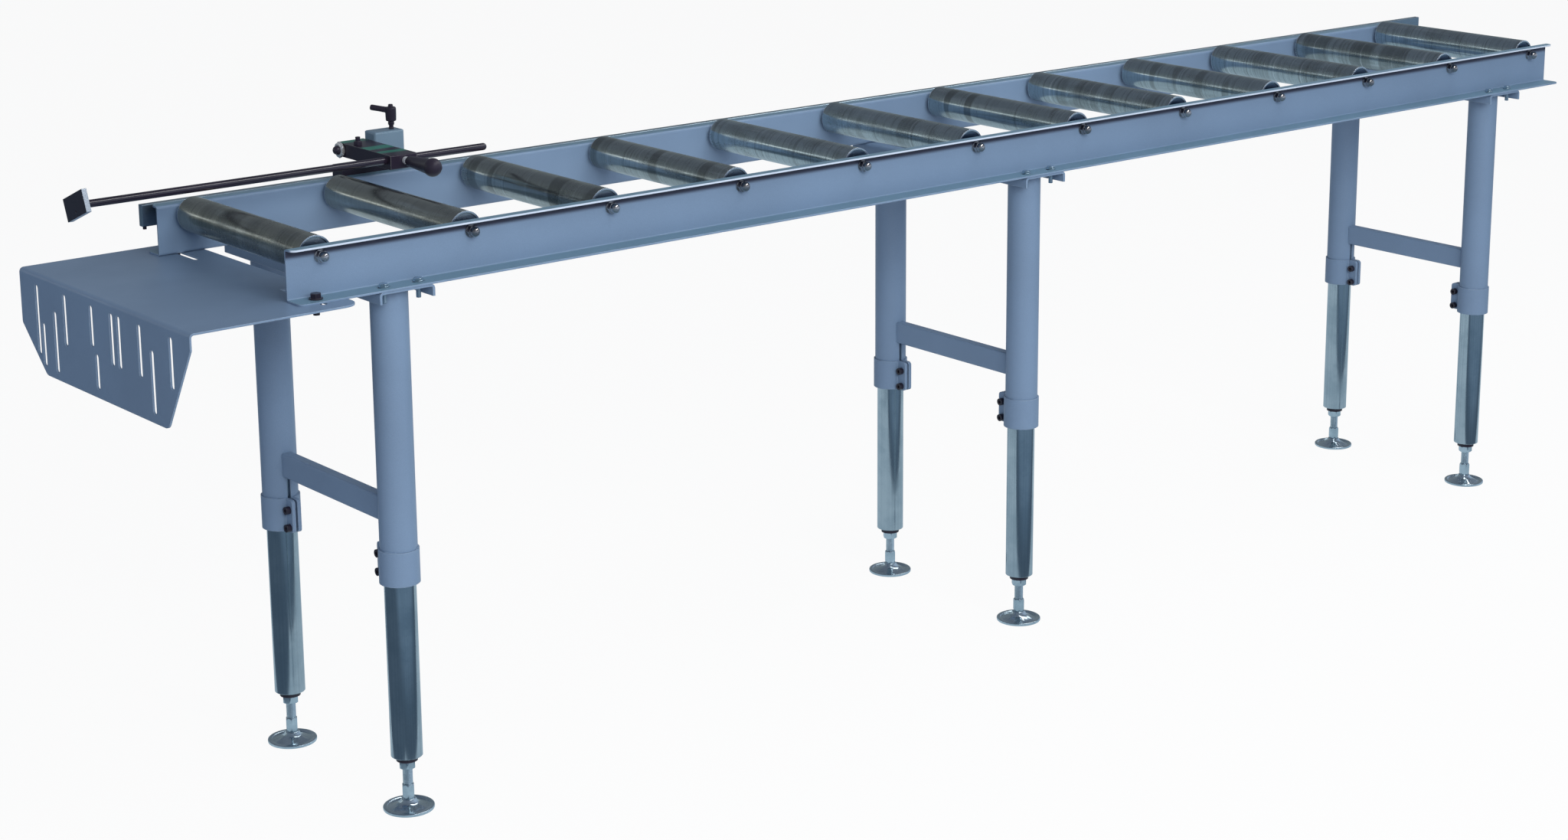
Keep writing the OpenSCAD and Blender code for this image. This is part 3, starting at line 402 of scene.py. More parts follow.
def roller_wear(tree, along, chance, local, body):
    """The tube's own marks over its tone: stains, streaks, bands, turning rings and specks."""
    seed = maths(tree, "MULTIPLY", chance, 40.0)

    def pattern(scale, **settings):
        return cloud(tree, stretched(tree, local, scale), 1.0, seed=seed, **settings)

    def mark(mask, low, high, share):
        return remap(tree, mask, low, high, 0.0, share)

    rings = pattern((6.0, 420.0, 6.0), detail=4.0, roughness=0.7)
    turns = pattern((3.0, 150.0, 3.0), detail=3.0, roughness=0.8)
    bands = pattern((2.0, 17.0, 2.0), detail=1.0, roughness=0.4)
    streaks = pattern((90.0, 7.0, 90.0), detail=4.0)
    stains = pattern((20.0, 9.0, 20.0), detail=6.0, roughness=0.65)
    specks = cloud(tree, local, 520.0, detail=2.0, seed=seed)
    worn = remap(tree, along, 0.5, 5.0, 0.25, 1.0)
    banded = maths(tree, "MULTIPLY", remap(tree, bands, 0.54, 0.57), remap(tree, chance, 0.3, 0.9, 0.1, 0.6))
    marks = (
        (maths(tree, "MULTIPLY", chance, 0.35), colour(0.30, 0.32, 0.29)),
        (mark(stains, 0.48, 0.66, 0.45), colour(0.20, 0.22, 0.21)),
        (mark(streaks, 0.5, 0.72, 0.35), colour(0.66, 0.73, 0.74)),
        (banded, colour(0.13, 0.14, 0.13)),
        (maths(tree, "MULTIPLY", worn, mark(turns, 0.54, 0.62, 0.45)), colour(0.16, 0.18, 0.18)),
        (maths(tree, "MULTIPLY", worn, mark(turns, 0.42, 0.34, 0.5)), colour(0.72, 0.78, 0.80)),
        (mark(rings, 0.52, 0.66, 0.5), colour(0.14, 0.16, 0.16)),
        (mark(specks, 0.63, 0.72, 0.7), grey(0.06)),
    )
    for mask, tone in marks:
        body = blend(tree, mask, body, tone)
    return body, stains, rings


def roller_skin():
    """Zinc-plated roller tube, warmer at the table's left end, with a bright rim and a disc at each end."""
    material, tree, shader, at = finish("roller_zinc")
    shader.inputs["Metallic"].default_value = 1.0
    low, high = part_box(ROLLERS[0])
    radius = (high.x - low.x) / 2
    along, number, local_x, y, local_z = roller_grid(tree, at)
    chance = add(tree, "ShaderNodeTexWhiteNoise", {"W": number}, noise_dimensions="1D").outputs["Value"]
    local = add(tree, "ShaderNodeCombineXYZ", {"X": local_x, "Y": y, "Z": local_z}).outputs[0]
    drift = remap(tree, along, 0.0, 5.0)
    body = blend(tree, drift, ROLLER_WARM, ROLLER_COOL)
    body, stains, rings = roller_wear(tree, along, chance, local, body)
    reach = maths(tree, "ABSOLUTE", y)
    across = add(tree, "ShaderNodeCombineXYZ", {"X": local_x, "Z": local_z}).outputs[0]
    distance = add(tree, "ShaderNodeVectorMath", {0: across}, operation="LENGTH").outputs["Value"]
    inside = maths(tree, "LESS_THAN", distance, radius - ROLLER_RIM)
    disc = maths(tree, "MULTIPLY", maths(tree, "GREATER_THAN", reach, high.y - HOUSING_DEPTH), inside)
    end_face = maths(tree, "GREATER_THAN", reach, high.y - RIM_SKIN)
    rim = maths(tree, "MULTIPLY", end_face, maths(tree, "SUBTRACT", 1.0, inside))
    body = blend(tree, disc, body, blend(tree, drift, DISC_LIGHT, DISC_DARK))
    fill(tree, shader.inputs["Base Color"], blend(tree, rim, body, RIM_TONE))
    fill(tree, shader.inputs["Roughness"], remap(tree, stains, 0.35, 0.7, 0.16, 0.32))
    edges = place(tree, EDGES, Radius=0.9 * MM)
    raise_surface(tree, shader, rings, 0.02 * MM, edges["Normal"])
    return material


# Each satin paint's second colour is its painted edge highlight.
PAINT = satin_paint("satin_blue_paint", BLUE, EDGE_HIGHLIGHT_BLUE, 0.34)
RAIL_PAINT = rail_paint()
BLOCK_PAINT = satin_paint("satin_grey_paint", colour(0.135, 0.205, 0.275), colour(0.40, 0.50, 0.56), 0.32)
ZINC = plated("bright_zinc", *ZINC_TONES, 0.16, EVEN_GRAIN)
FIXINGS = fixings_zinc()
BRIGHT_ZINC = plated(
    "polished_zinc", colour(0.90, 0.91, 0.92), colour(0.8, 0.82, 0.84), 0.3, EVEN_GRAIN, 0.1, metallic=0.5,
)
ZINC_TUBE = plated("zinc_tube", colour(0.55, 0.63, 0.67), colour(0.44, 0.53, 0.58), 0.1, (330.0, 330.0, 2.0))
CHROME = plated("nickel_plate", colour(0.62, 0.60, 0.59), colour(0.36, 0.34, 0.33), 0.06, EVEN_GRAIN, 0.1)
PIVOT_CHROME = plated(
    "bright_nickel", colour(0.90, 0.89, 0.88), colour(0.74, 0.73, 0.72), 0.12, EVEN_GRAIN, 0.1, metallic=0.8,
)
STEEL = plated("turned_steel", colour(0.60, 0.61, 0.62), colour(0.46, 0.47, 0.49), 0.25, (80.0, 700.0, 80.0))
BLACK = blackened("black_oxide", BLACK_TONE, 0.28)
GUIDE = plated("guide_zinc", colour(0.45, 0.55, 0.61), colour(0.36, 0.45, 0.51), 0.3, (3.0, 500.0, 500.0))
GLOSS_BLACK = blackened("polished_black_oxide", colour(0.012, 0.008, 0.016), 0.12, relief=0.002)
GLOSS_BLACK.node_tree.nodes["Principled BSDF"].inputs["Specular IOR Level"].default_value = 0.9
PLASTIC = blackened("black_plastic", colour(0.016, 0.012, 0.022), 0.38, wear=0.15)
ARM = arm_black()
PLATE = plate_black()
ROLLER = roller_skin()

FINISH_OF = {
    "leg_bolts": ZINC, "clamp_screws": BLACK, "end_plate_bolts": BLACK, "axle_nuts": CHROME,
    "near_rail": RAIL_PAINT, "far_rail": RAIL_PAINT, "clamp_block": BLOCK_PAINT, "guide_bar": GUIDE,
    "roller_axles": STEEL, "roller_bearings": STEEL, "guide_bar_fixings": FIXINGS, "stop_shoe": BLACK,
    "pivot_pin": CHROME, "clamp_lever": PLASTIC, "stop_arm": ARM, "arm_screw": BLACK,
    "stop_rod": GLOSS_BLACK, "stop_plate": PLATE, "stop_handle": PLASTIC,
}


def finish_for(name):
    """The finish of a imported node, by its name."""
    if name.startswith("roller_") and name[-1].isdigit():
        return ROLLER
    if name.startswith("inner_leg"):
        return ZINC_TUBE
    if name.startswith("foot"):
        return ZINC
    return FINISH_OF.get(name, PAINT)


for name, node in nodes.items():
    node.data.materials.clear()
    node.data.materials.append(finish_for(name))


# Solids: each is made at the origin, in metres, round Z
SAME_POINT = 0.002 * MM


def turned(outline, steps=48):
    """Spins a chain of (radius, height) points once round Z; ends on the axis are closed there."""
    bm = bmesh.new()
    chain = [bm.verts.new((radius, 0.0, height)) for radius, height in outline]
    edges = [bm.edges.new(pair) for pair in zip(chain, chain[1:])]
    bmesh.ops.spin(
        bm, geom=chain + edges, axis=(0, 0, 1), cent=(0, 0, 0), angle=math.tau, steps=steps, use_merge=True,
    )
    bmesh.ops.remove_doubles(bm, verts=bm.verts, dist=SAME_POINT)
    bmesh.ops.recalc_face_normals(bm, faces=bm.faces)
    return bm


def scaled(outline):
    """An outline given in millimetres, in metres."""
    return [(radius * MM, height * MM) for radius, height in outline]


def ring_outline(outline):
    """A closed outline, for a turned solid with a bore."""
    return outline + outline[:1]


def eased(t, a, b, c, d):
    """A curve's place from b to c, which heads for them from a and leaves towards d."""
    return 0.5 * (2 * b + (c - a) * t + (2 * a - 5 * b + 4 * c - d) * t**2 + (3 * b - a - 3 * c + d) * t**3)


def smooth_outline(points, per_span=5):
    """A smooth chain through the points; the curve eases through every one of them."""
    ends = [points[0]] + list(points) + [points[-1]]
    chain = []
    for before, start, finish_at, after in zip(ends, ends[1:], ends[2:], ends[3:]):
        for step in range(per_span):
            four_points = zip(before, start, finish_at, after)
            chain.append(tuple(eased(step / per_span, *four) for four in four_points))
    return chain + [tuple(points[-1])]


def on_hexagon(bm, flats):
    """Cuts a turned solid down to a hexagon bar's six flats."""
    for vert in bm.verts:
        radius = math.hypot(vert.co.x, vert.co.y)
        if radius > 0:
            turn = math.atan2(vert.co.y, vert.co.x) % (math.pi / 3) - math.pi / 6
            limit = flats / 2 / math.cos(turn)
            if radius > limit:
                vert.co.x *= limit / radius
                vert.co.y *= limit / radius
    return bm


CHAMFER_STEPS, CHAMFER_START_SHARE, CHAMFER_CURVE = 4, 0.96, 1.5


def nut(flats, height, bore=0.0, chamfer=0.16):
    """A nut or a bolt's head: six flats with turned corners, with or without a bore."""
    corner = flats / 2 / math.cos(math.pi / 6)
    start = flats / 2 * CHAMFER_START_SHARE
    rise = chamfer * flats / 2
    lower, upper = [], []
    for step in range(CHAMFER_STEPS + 1):
        share = step / CHAMFER_STEPS
        radius = start + (corner - start) * share
        lower.append((radius, rise * share**CHAMFER_CURVE))
        upper.append((radius, height - rise * share**CHAMFER_CURVE))
    outline = [(bore / 2, 0.0)] + lower + upper[::-1] + [(bore / 2, height)]
    if bore:
        outline = ring_outline(outline)
    return on_hexagon(turned(outline, 72), flats)


RINGS_PER_TURN, THREAD_DEPTH_SHARE, THREAD_END_SHARE = 6, 0.3, 0.15


def screw_thread(diameter, length, pitch, sides=24):
    """A rod whose rings are moved in and out along the thread's helix."""
    rings = max(4, round(RINGS_PER_TURN * length / pitch))
    radius = diameter / 2
    depth = THREAD_DEPTH_SHARE * pitch
    chain = [(radius, length * ring / rings) for ring in range(rings + 1)]
    bm = turned([(0.0, 0.0)] + chain + [(0.0, length)], sides)
    for vert in bm.verts:
        if math.hypot(vert.co.x, vert.co.y) > radius / 2:
            phase = (vert.co.z / pitch - math.atan2(vert.co.y, vert.co.x) / math.tau) % 1.0
            to_end = min(length - vert.co.z, vert.co.z) / pitch
            ease = min(1.0, to_end + THREAD_END_SHARE)
            inward = depth * (1.0 - abs(2.0 * phase - 1.0)) + 0.5 * depth * (1.0 - ease)
            vert.co.x *= 1.0 - inward / radius
            vert.co.y *= 1.0 - inward / radius
    return bm


def gather(parts):
    """One bmesh of several solids, each with a matrix that puts it in its place."""
    whole = bmesh.new()
    for bm, matrix in parts:
        bm.transform(matrix)
        mesh = bpy.data.meshes.new("part")
        bm.to_mesh(mesh)
        bm.free()
        whole.from_mesh(mesh)
        bpy.data.meshes.remove(mesh)
    return whole


def at_point(x, y, z):
    """The matrix that puts a solid at a point."""
    return Matrix.Translation((x, y, z))


ALONG_X = Matrix.Rotation(math.pi / 2, 4, "Y")
ALONG_Y = Matrix.Rotation(-math.pi / 2, 4, "X")
AGAINST_Y = Matrix.Rotation(math.pi / 2, 4, "X")
AGAINST_X = Matrix.Rotation(-math.pi / 2, 4, "Y")


def dress(name, bm, material, body, replaced=(), sharp=38.0, flat=False):
    """Makes a bmesh a piece of the model: smooth but for its sharp edges, and riding on a body."""
    mesh = bpy.data.meshes.new(name)
    bm.to_mesh(mesh)
    bm.free()
    mesh.shade_smooth()
    mesh.set_sharp_from_angle(angle=math.radians(sharp))
    mesh.materials.append(material)
    piece = bpy.data.objects.new(name, mesh)
    bpy.context.scene.collection.objects.link(piece)
    if flat:
        even = piece.modifiers.new("even_faces", "WEIGHTED_NORMAL")
        even.weight = 100
        even.keep_sharp = True
    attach(piece, body)
    if replaced:
        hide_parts(*replaced)
    return piece


# Feet: a dished pad with pressed ribs, a hexagon neck and a threaded stem
PAD_TOP = [
    (5.0, 17.4), (9.6, 17.4), (11.4, 16.6), (13.2, 13.2), (15.4, 10.2), (19.5, 7.6), (25.0, 5.2),
    (29.5, 3.9), (32.2, 3.5), (33.6, 4.1), (34.6, 5.0), (36.4, 5.3), (38.8, 5.2), (40.2, 4.4), (40.5, 3.0),
]
PAD_UNDER = [
    (40.3, 0.9), (39.4, 0.05), (36.0, 0.0), (31.0, 0.3), (24.0, 2.4), (17.0, 5.6), (12.4, 9.6), (10.0, 14.2),
    (5.0, 14.4),
]
PAD_RIBS, RIB_RISE, RIB_START, RIB_END = 6, 0.9, 15.0, 31.0
NECK_FLATS, NECK_FOOT, NECK_TOP = 18.0, 17.5, 41.0
COLLAR_R, COLLAR_RISE, STEM_FOOT = 7.2, 1.6, NECK_TOP + 1.0
STEM_D, STEM_PITCH = 16.0, 1.5


def pad():
    """The dished pad: a turned sheet, with ribs pressed up between its hub and its rim."""
    bm = turned(ring_outline(scaled(smooth_outline(PAD_TOP, 4) + smooth_outline(PAD_UNDER, 3))), 72)
    for vert in bm.verts:
        radius = math.hypot(vert.co.x, vert.co.y) / MM
        if RIB_START < radius < RIB_END:
            window = math.sin(math.pi * (radius - RIB_START) / (RIB_END - RIB_START))
            turn = math.cos(PAD_RIBS * math.atan2(vert.co.y, vert.co.x))
            vert.co.z += RIB_RISE * MM * window * max(0.0, turn) ** 2
    return bm


def foot(body):
    """One levelling foot, on the foot that it stands for."""
    low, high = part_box(body)
    middle = (low + high) / 2
    base = at_point(middle.x, middle.y, low.z)
    neck = nut(NECK_FLATS * MM, (NECK_TOP - NECK_FOOT) * MM, chamfer=0.3)
    collar = [(0.0, 0.0), (COLLAR_R, 0.0), (COLLAR_R, COLLAR_RISE), (0.0, COLLAR_RISE)]
    stem = screw_thread(STEM_D * MM, high.z - low.z - STEM_FOOT * MM, STEM_PITCH * MM)
    parts = [
        (pad(), base),
        (neck, base @ at_point(0, 0, NECK_FOOT * MM)),
        (turned(scaled(collar)), base @ at_point(0, 0, NECK_TOP * MM)),
        (stem, base @ at_point(0, 0, STEM_FOOT * MM)),
    ]
    dress(f"{body}_dished", gather(parts), ZINC, body, (body,))


# Inner legs: a bright tube, a black plug in its end and a lock nut under it
LEG_WALL, RIM_EASE, LEG_CHAMFER = 2.5, 0.4, 0.5
PLUG_NECK_D, PLUG_SHOWN, PLUG_DEPTH, PLUG_STEP = 34.0, 8.5, 30.0, 0.6
LOCK_NUT_FLATS, LOCK_NUT, NUT_GAP, SLIP = 24.0, 12.7, 0.3, 0.2


def inner_leg(body):
    """One inner leg: the tube, its plug and its lock nut are a piece each."""
    low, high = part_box(body)
    middle = (low + high) / 2
    radius = (high.x - low.x) / 2 / MM
    nut_foot = at_point(middle.x, middle.y, low.z)
    tube_foot = LOCK_NUT + PLUG_SHOWN
    length = (high.z - low.z) / MM - tube_foot
    bore, rim = radius - LEG_WALL, radius - LEG_CHAMFER
    wall = [
        (bore, RIM_EASE), (bore + RIM_EASE, 0.0), (rim, 0.0), (radius, LEG_CHAMFER),
        (radius, length - LEG_CHAMFER), (rim, length), (bore + RIM_EASE, length), (bore, length - RIM_EASE),
    ]
    tube = gather([(turned(ring_outline(scaled(wall)), 96), nut_foot @ at_point(0, 0, tube_foot * MM))])
    dress(f"{body}_tube", tube, ZINC_TUBE, body, (body,))
    thread, neck, skirt = STEM_D / 2 + SLIP, PLUG_NECK_D / 2, bore - SLIP
    neck_foot, plug_top = LOCK_NUT + NUT_GAP, tube_foot + PLUG_DEPTH
    outline = [
        (thread, neck_foot), (neck, neck_foot), (neck, tube_foot), (skirt, tube_foot + PLUG_STEP),
        (skirt, plug_top), (thread, plug_top),
    ]
    plug = gather([(turned(ring_outline(scaled(outline)), 64), nut_foot)])
    dress(f"{body}_plug", plug, BLACK, body, (body,))
    lock_nut = nut(LOCK_NUT_FLATS * MM, LOCK_NUT * MM, bore=2 * thread * MM, chamfer=0.14)
    dress(f"{body}_lock_nut", gather([(lock_nut, nut_foot)]), ZINC, body, (body,))


for leg in LEGS:
    for side in SIDES:
        foot(f"foot_{leg}_{side}")
        inner_leg(f"inner_leg_{leg}_{side}")


# Copies of CAD nodes with really rounded edges
LOOSE_GAP, FLAT_TURN = 0.004 * MM, 0.6
BLOCK_EDGE, SHOE_EDGE, PLATE_EDGE = 0.7 * MM, 0.5 * MM, 0.4 * MM


def node_copy(name):
    """The node's mesh with its loose triangles joined and its flat faces made whole."""
    bm = bmesh.new()
    bm.from_mesh(nodes[name].data)
    bmesh.ops.remove_doubles(bm, verts=bm.verts, dist=LOOSE_GAP)
    bmesh.ops.dissolve_limit(bm, angle_limit=math.radians(FLAT_TURN), verts=bm.verts, edges=bm.edges)
    return bm


def round_edges(bm, width, turn=35.0, segments=2):
    """Bevels every edge where the surface turns by more than an angle."""
    limit = math.radians(turn)
    sharp = [edge for edge in bm.edges if edge.is_manifold and edge.calc_face_angle(0.0) > limit]
    bmesh.ops.bevel(
        bm, geom=sharp, offset=width, offset_type="OFFSET", affect="EDGES", segments=segments,
        profile=0.5, material=-1, clamp_overlap=True,
    )
    return bm


def soften_node(name, body, width):
    """A node shown with really rounded edges, in its own finish."""
    solid = round_edges(node_copy(name), width)
    dress(f"{name}_rounded", solid, finish_for(name), body, (name,), flat=True)


soften_node("clamp_block", "stop_carriage", BLOCK_EDGE)
soften_node("stop_shoe", "stop_carriage", SHOE_EDGE)
soften_node("stop_plate", "stop_plate", PLATE_EDGE)


# Clamp lever: a moulded handle on a turned steel stud; its arm's place is a height over the hub's foot
LEVER_AXIS = (-1007.0, 230.0)
LEVER_HUB_FOOT, LEVER_ARM_PLACE = 1008.1, 17.3
LEVER_DIRECTION, LEVER_REACH, LEVER_RISE = 133.0, 35.0, 5.0
LEVER_HUB = [
    (0.0, 0.0), (7.2, 0.0), (8.3, 0.6), (8.7, 2.0), (9.0, 12.0), (9.0, 20.5), (8.4, 22.6), (7.0, 23.5),
    (4.6, 23.5), (4.4, 23.1), (4.1, 23.1), (4.0, 27.2), (3.4, 28.0), (0.0, 28.0),
]
LEVER_ARM = [
    (0.0, 0.0), (5.4, 0.0), (5.0, 10.0), (4.8, 20.0), (4.9, 32.0), (4.3, 34.2), (2.6, 35.0), (0.0, 35.0),
]
LEVER_STUD = [
    (0.0, -73.0), (4.0, -73.0), (4.0, 0.0), (4.4, 0.0), (4.4, 2.0), (3.8, 2.3), (3.8, 6.4), (4.7, 6.6),
    (5.1, 7.2), (5.1, 12.4), (4.7, 13.0), (0.0, 13.0),
]
LEVER_VOXEL, STUD_GAP = 0.55, 0.3


def moulded(bm, voxel, softening=8):
    """Fuses overlapping solids into one skin, and lets their meetings flow together."""
    mesh = bpy.data.meshes.new("mould")
    bm.to_mesh(mesh)
    bm.free()
    form = bpy.data.objects.new("mould", mesh)
    bpy.context.scene.collection.objects.link(form)
    skin = form.modifiers.new("skin", "REMESH")
    skin.mode = "VOXEL"
    skin.voxel_size = voxel
    flow = form.modifiers.new("flow", "SMOOTH")
    flow.factor = 0.5
    flow.iterations = softening
    bpy.context.view_layer.update()
    shaped = bmesh.new()
    shaped.from_object(form, bpy.context.evaluated_depsgraph_get())
    bpy.data.objects.remove(form)
    bpy.data.meshes.remove(mesh)
    return shaped


def clamp_lever():
    """The moulded handle and its stud, which reaches down through the block to the guide bar."""
    x, y = (place_mm * MM for place_mm in LEVER_AXIS)
    hub_foot = at_point(x, y, LEVER_HUB_FOOT * MM)
    arm_middle = at_point(0, 0, LEVER_ARM_PLACE * MM)
    lean = math.acos(LEVER_RISE / LEVER_REACH)
    turn = Matrix.Rotation(math.radians(LEVER_DIRECTION), 4, "Z") @ Matrix.Rotation(lean, 4, "Y")
    solids = gather([
        (turned(scaled(LEVER_HUB)), hub_foot),
        (turned(scaled(LEVER_ARM), 32), hub_foot @ arm_middle @ turn),
    ])
    handle = moulded(solids, LEVER_VOXEL * MM)
    replaced = ("clamp_lever",)
    dress("clamp_lever_handle", handle, PLASTIC, "clamp_lever", replaced, sharp=60.0)
    stud_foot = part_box("clamp_block")[1].z + STUD_GAP * MM
    stud = gather([(turned(scaled(LEVER_STUD)), at_point(x, y, stud_foot))])
    dress("clamp_lever_stud", stud, BLACK, "clamp_lever", replaced)


clamp_lever()


# Stop handle: a bright collar and stud, and a club grip with a ball end
HANDLE_GRIP = [
    (0.0, 0.0), (7.4, 0.0), (8.2, 0.4), (8.6, 1.3), (10.2, 24.0), (12.9, 60.5), (13.4, 62.2), (13.4, 62.9),
    (14.0, 63.5),
]
HANDLE_COLLAR = [
    (0.0, 0.0), (5.4, 0.0), (6.2, 0.8), (6.2, 4.4), (5.8, 4.8), (5.8, 5.4), (6.2, 5.8), (6.2, 11.4),
    (5.4, 12.2), (0.0, 12.2),
]
HANDLE_BALL_R, BALL_STEPS = 15.0, 16
COLLAR_LENGTH, COLLAR_GAP, STUD_R = 12.0, 0.3, 4.0


def stop_handle():
    """The club grip with its ball end, and the bright collar and stud that lead into the arm."""
    low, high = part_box("stop_handle")
    arm_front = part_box("stop_arm")[0].y
    x, z = (low.x + high.x) / 2, (low.z + high.z) / 2
    collar_front = arm_front - COLLAR_GAP * MM - COLLAR_LENGTH * MM
    root, root_place = HANDLE_GRIP[-1]
    start = math.asin(root / HANDLE_BALL_R)
    centre = root_place + HANDLE_BALL_R * math.cos(start)
    ball = []
    for step in range(1, BALL_STEPS + 1):
        angle = start + (math.pi - start) * step / BALL_STEPS
        ball.append((HANDLE_BALL_R * math.sin(angle), centre - HANDLE_BALL_R * math.cos(angle)))
    ball[-1] = (0.0, ball[-1][1])
    grip = gather([(turned(scaled(HANDLE_GRIP + ball), 64), at_point(x, collar_front, z) @ AGAINST_Y)])
    dress("stop_handle_grip", grip, PLASTIC, "stop_handle", ("stop_handle",), sharp=25.0)
    reach = high.y / MM - arm_front / MM
    stud = [(0.0, 0.0), (STUD_R, 0.0), (STUD_R, reach), (0.0, reach)]
    metal = gather([
        (turned(scaled(HANDLE_COLLAR)), at_point(x, collar_front, z) @ ALONG_Y),
        (turned(scaled(stud)), at_point(x, arm_front, z) @ ALONG_Y),
    ])
    dress("stop_handle_collar", metal, BRIGHT_ZINC, "stop_handle", ("stop_handle",))


stop_handle()


# Pivot pin: a bright shaft and nut, and a black dome cap with a flange
PIVOT_NUT_FLATS, PIVOT_NUT, PIVOT_PIN_D = 24.0, 6.0, 12.0
PIVOT_CAP = [(0.0, 0.0), (8.0, 0.0), (8.0, 1.4), (7.4, 2.0)]
PIVOT_DOME_D, PIVOT_CAP_RISE, DOME_STEPS = 14.8, 9.0, 8


def pivot_pin():
    """The pin's shaft and nut in one bright piece, and its dome cap in a black one."""
    low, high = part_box("pivot_pin")
    y, z = (low.y + high.y) / 2, (low.z + high.z) / 2
    cap_foot = low.x + PIVOT_CAP_RISE * MM
    nut_right = cap_foot + PIVOT_NUT * MM
    shaft = [(0.0, 0.0), (PIVOT_PIN_D / 2, 0.0), (PIVOT_PIN_D / 2, (high.x - cap_foot) / MM)]
    shaft.append((0.0, shaft[-1][1]))
    metal = gather([
        (nut(PIVOT_NUT_FLATS * MM, PIVOT_NUT * MM, chamfer=0.2), at_point(nut_right, y, z) @ AGAINST_X),
        (turned(scaled(shaft)), at_point(cap_foot, y, z) @ ALONG_X),
    ])
    dress("pivot_nut", metal, PIVOT_CHROME, "stop_carriage", ("pivot_pin",))
    dome = []
    skirt_rise = PIVOT_CAP[-1][1]
    for step in range(DOME_STEPS + 1):
        angle = math.pi / 2 * step / DOME_STEPS
        rise = skirt_rise + (PIVOT_CAP_RISE - skirt_rise) * math.sin(angle)
        dome.append((PIVOT_DOME_D / 2 * math.cos(angle), rise))
    dome[-1] = (0.0, PIVOT_CAP_RISE)
    cap = gather([(turned(scaled(PIVOT_CAP[:-1] + dome)), at_point(cap_foot, y, z) @ AGAINST_X)])
    dress("pivot_cap", cap, GLOSS_BLACK, "stop_carriage", ("pivot_pin",))


pivot_pin()


# Leg bolts: hexagon heads with a washer face and a threaded tail
BOLT_FLATS, BOLT_HEAD, BOLT_D, BOLT_PITCH = 13.0, 5.3, 8.0, 1.25
BOLT_PLACE, BOLT_LINE, FLANGE_RISE = 30.0, 217.5, 1.4
BOLT_WASHER = [(0.0, 0.0), (8.0, 0.0), (8.0, 1.3), (7.6, 1.6), (0.0, 1.6)]


def leg_bolts():
    """Four bolts on each leg frame, with their heads turned by chance."""
    low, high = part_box("leg_bolts")
    seat = high.z - BOLT_HEAD * MM
    length = seat - low.z
    rise = at_point(0, 0, FLANGE_RISE * MM)
    parts = []
    for leg in LEGS:
        leg_low, leg_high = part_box(f"leg_tube_{leg}_near")
        middle = (leg_low.x + leg_high.x) / 2
        for end in (-1, 1):
            for side in (-1, 1):
                spot = at_point(middle + end * BOLT_PLACE * MM, side * BOLT_LINE * MM, seat)
                twist = Matrix.Rotation(noise.random() * math.pi, 4, "Z")
                head = nut(BOLT_FLATS * MM, (BOLT_HEAD - FLANGE_RISE) * MM, chamfer=0.2)
                tail = screw_thread(BOLT_D * MM, length, BOLT_PITCH * MM, 16)
                parts.append((head, spot @ rise @ twist))
                parts.append((turned(scaled(BOLT_WASHER), 32), spot))
                parts.append((tail, spot @ at_point(0, 0, -length)))
    dress("leg_bolts_threaded", gather(parts), ZINC, "table", ("leg_bolts",))


noise.seed_set(7)
leg_bolts()


# Weld beads, painted over: round the clamps' top rims and the legs' heads
BEAD_SIDES, BEAD_STEP = 8, 0.7 * MM
RIPPLE_LENGTH, RIPPLE_SHARE, LUMP_SHARE = 1.9 * MM, 0.16, 0.3
LUMPS_ALONG, LUMPS_UP = 260, 300
BEAD_END_SHARE, BEAD_END_RATE = 0.35, 8.0
CLAMP_ARCS, HEAD_ARCS = ((-62, 40), (70, 38), (190, 42)), ((-150, 50), (-60, 50), (30, 50), (120, 50))
CLAMP_BEAD, CLAMP_BEAD_OFF, CLAMP_BEAD_RISE = 1.3 * MM, 0.3 * MM, 0.2 * MM
HEAD_BEAD, HEAD_BEAD_OFF, HEAD_BEAD_DROP = 1.6 * MM, 0.5 * MM, 0.6 * MM


def bead(radius, start, sweep, size, seed):
    """A lumpy ring of weld round Z, over part of a turn."""
    bm = bmesh.new()
    ring = bmesh.ops.create_circle(bm, segments=BEAD_SIDES, radius=size, cap_ends=False)
    bmesh.ops.rotate(bm, verts=ring["verts"], cent=(0, 0, 0), matrix=Matrix.Rotation(math.pi / 2, 3, "X"))
    bmesh.ops.translate(bm, verts=ring["verts"], vec=(radius, 0, 0))
    bmesh.ops.rotate(bm, verts=bm.verts, cent=(0, 0, 0), matrix=Matrix.Rotation(start, 3, "Z"))
    steps = max(6, round(sweep * radius / BEAD_STEP))
    outline = bm.verts[:] + bm.edges[:]
    bmesh.ops.spin(bm, geom=outline, axis=(0, 0, 1), cent=(0, 0, 0), angle=sweep, steps=steps)
    bmesh.ops.holes_fill(bm, edges=bm.edges, sides=BEAD_SIDES)
    for vert in bm.verts:
        turn = (math.atan2(vert.co.y, vert.co.x) - start) % math.tau
        share = min(turn / sweep, 1.0)
        ripple = RIPPLE_SHARE * math.sin(turn * radius / RIPPLE_LENGTH * math.tau)
        spot = Vector((turn * radius * LUMPS_ALONG, seed, vert.co.z * LUMPS_UP))
        lump = LUMP_SHARE * noise.noise(spot)
        taper = min(1.0, BEAD_END_RATE * min(share, 1.0 - share) + BEAD_END_SHARE)
        spine = Vector((radius * math.cos(start + turn), radius * math.sin(start + turn), 0.0))
        vert.co = spine + (vert.co - spine) * (1.0 + ripple + lump) * taper
    bmesh.ops.recalc_face_normals(bm, faces=bm.faces)
    return bm


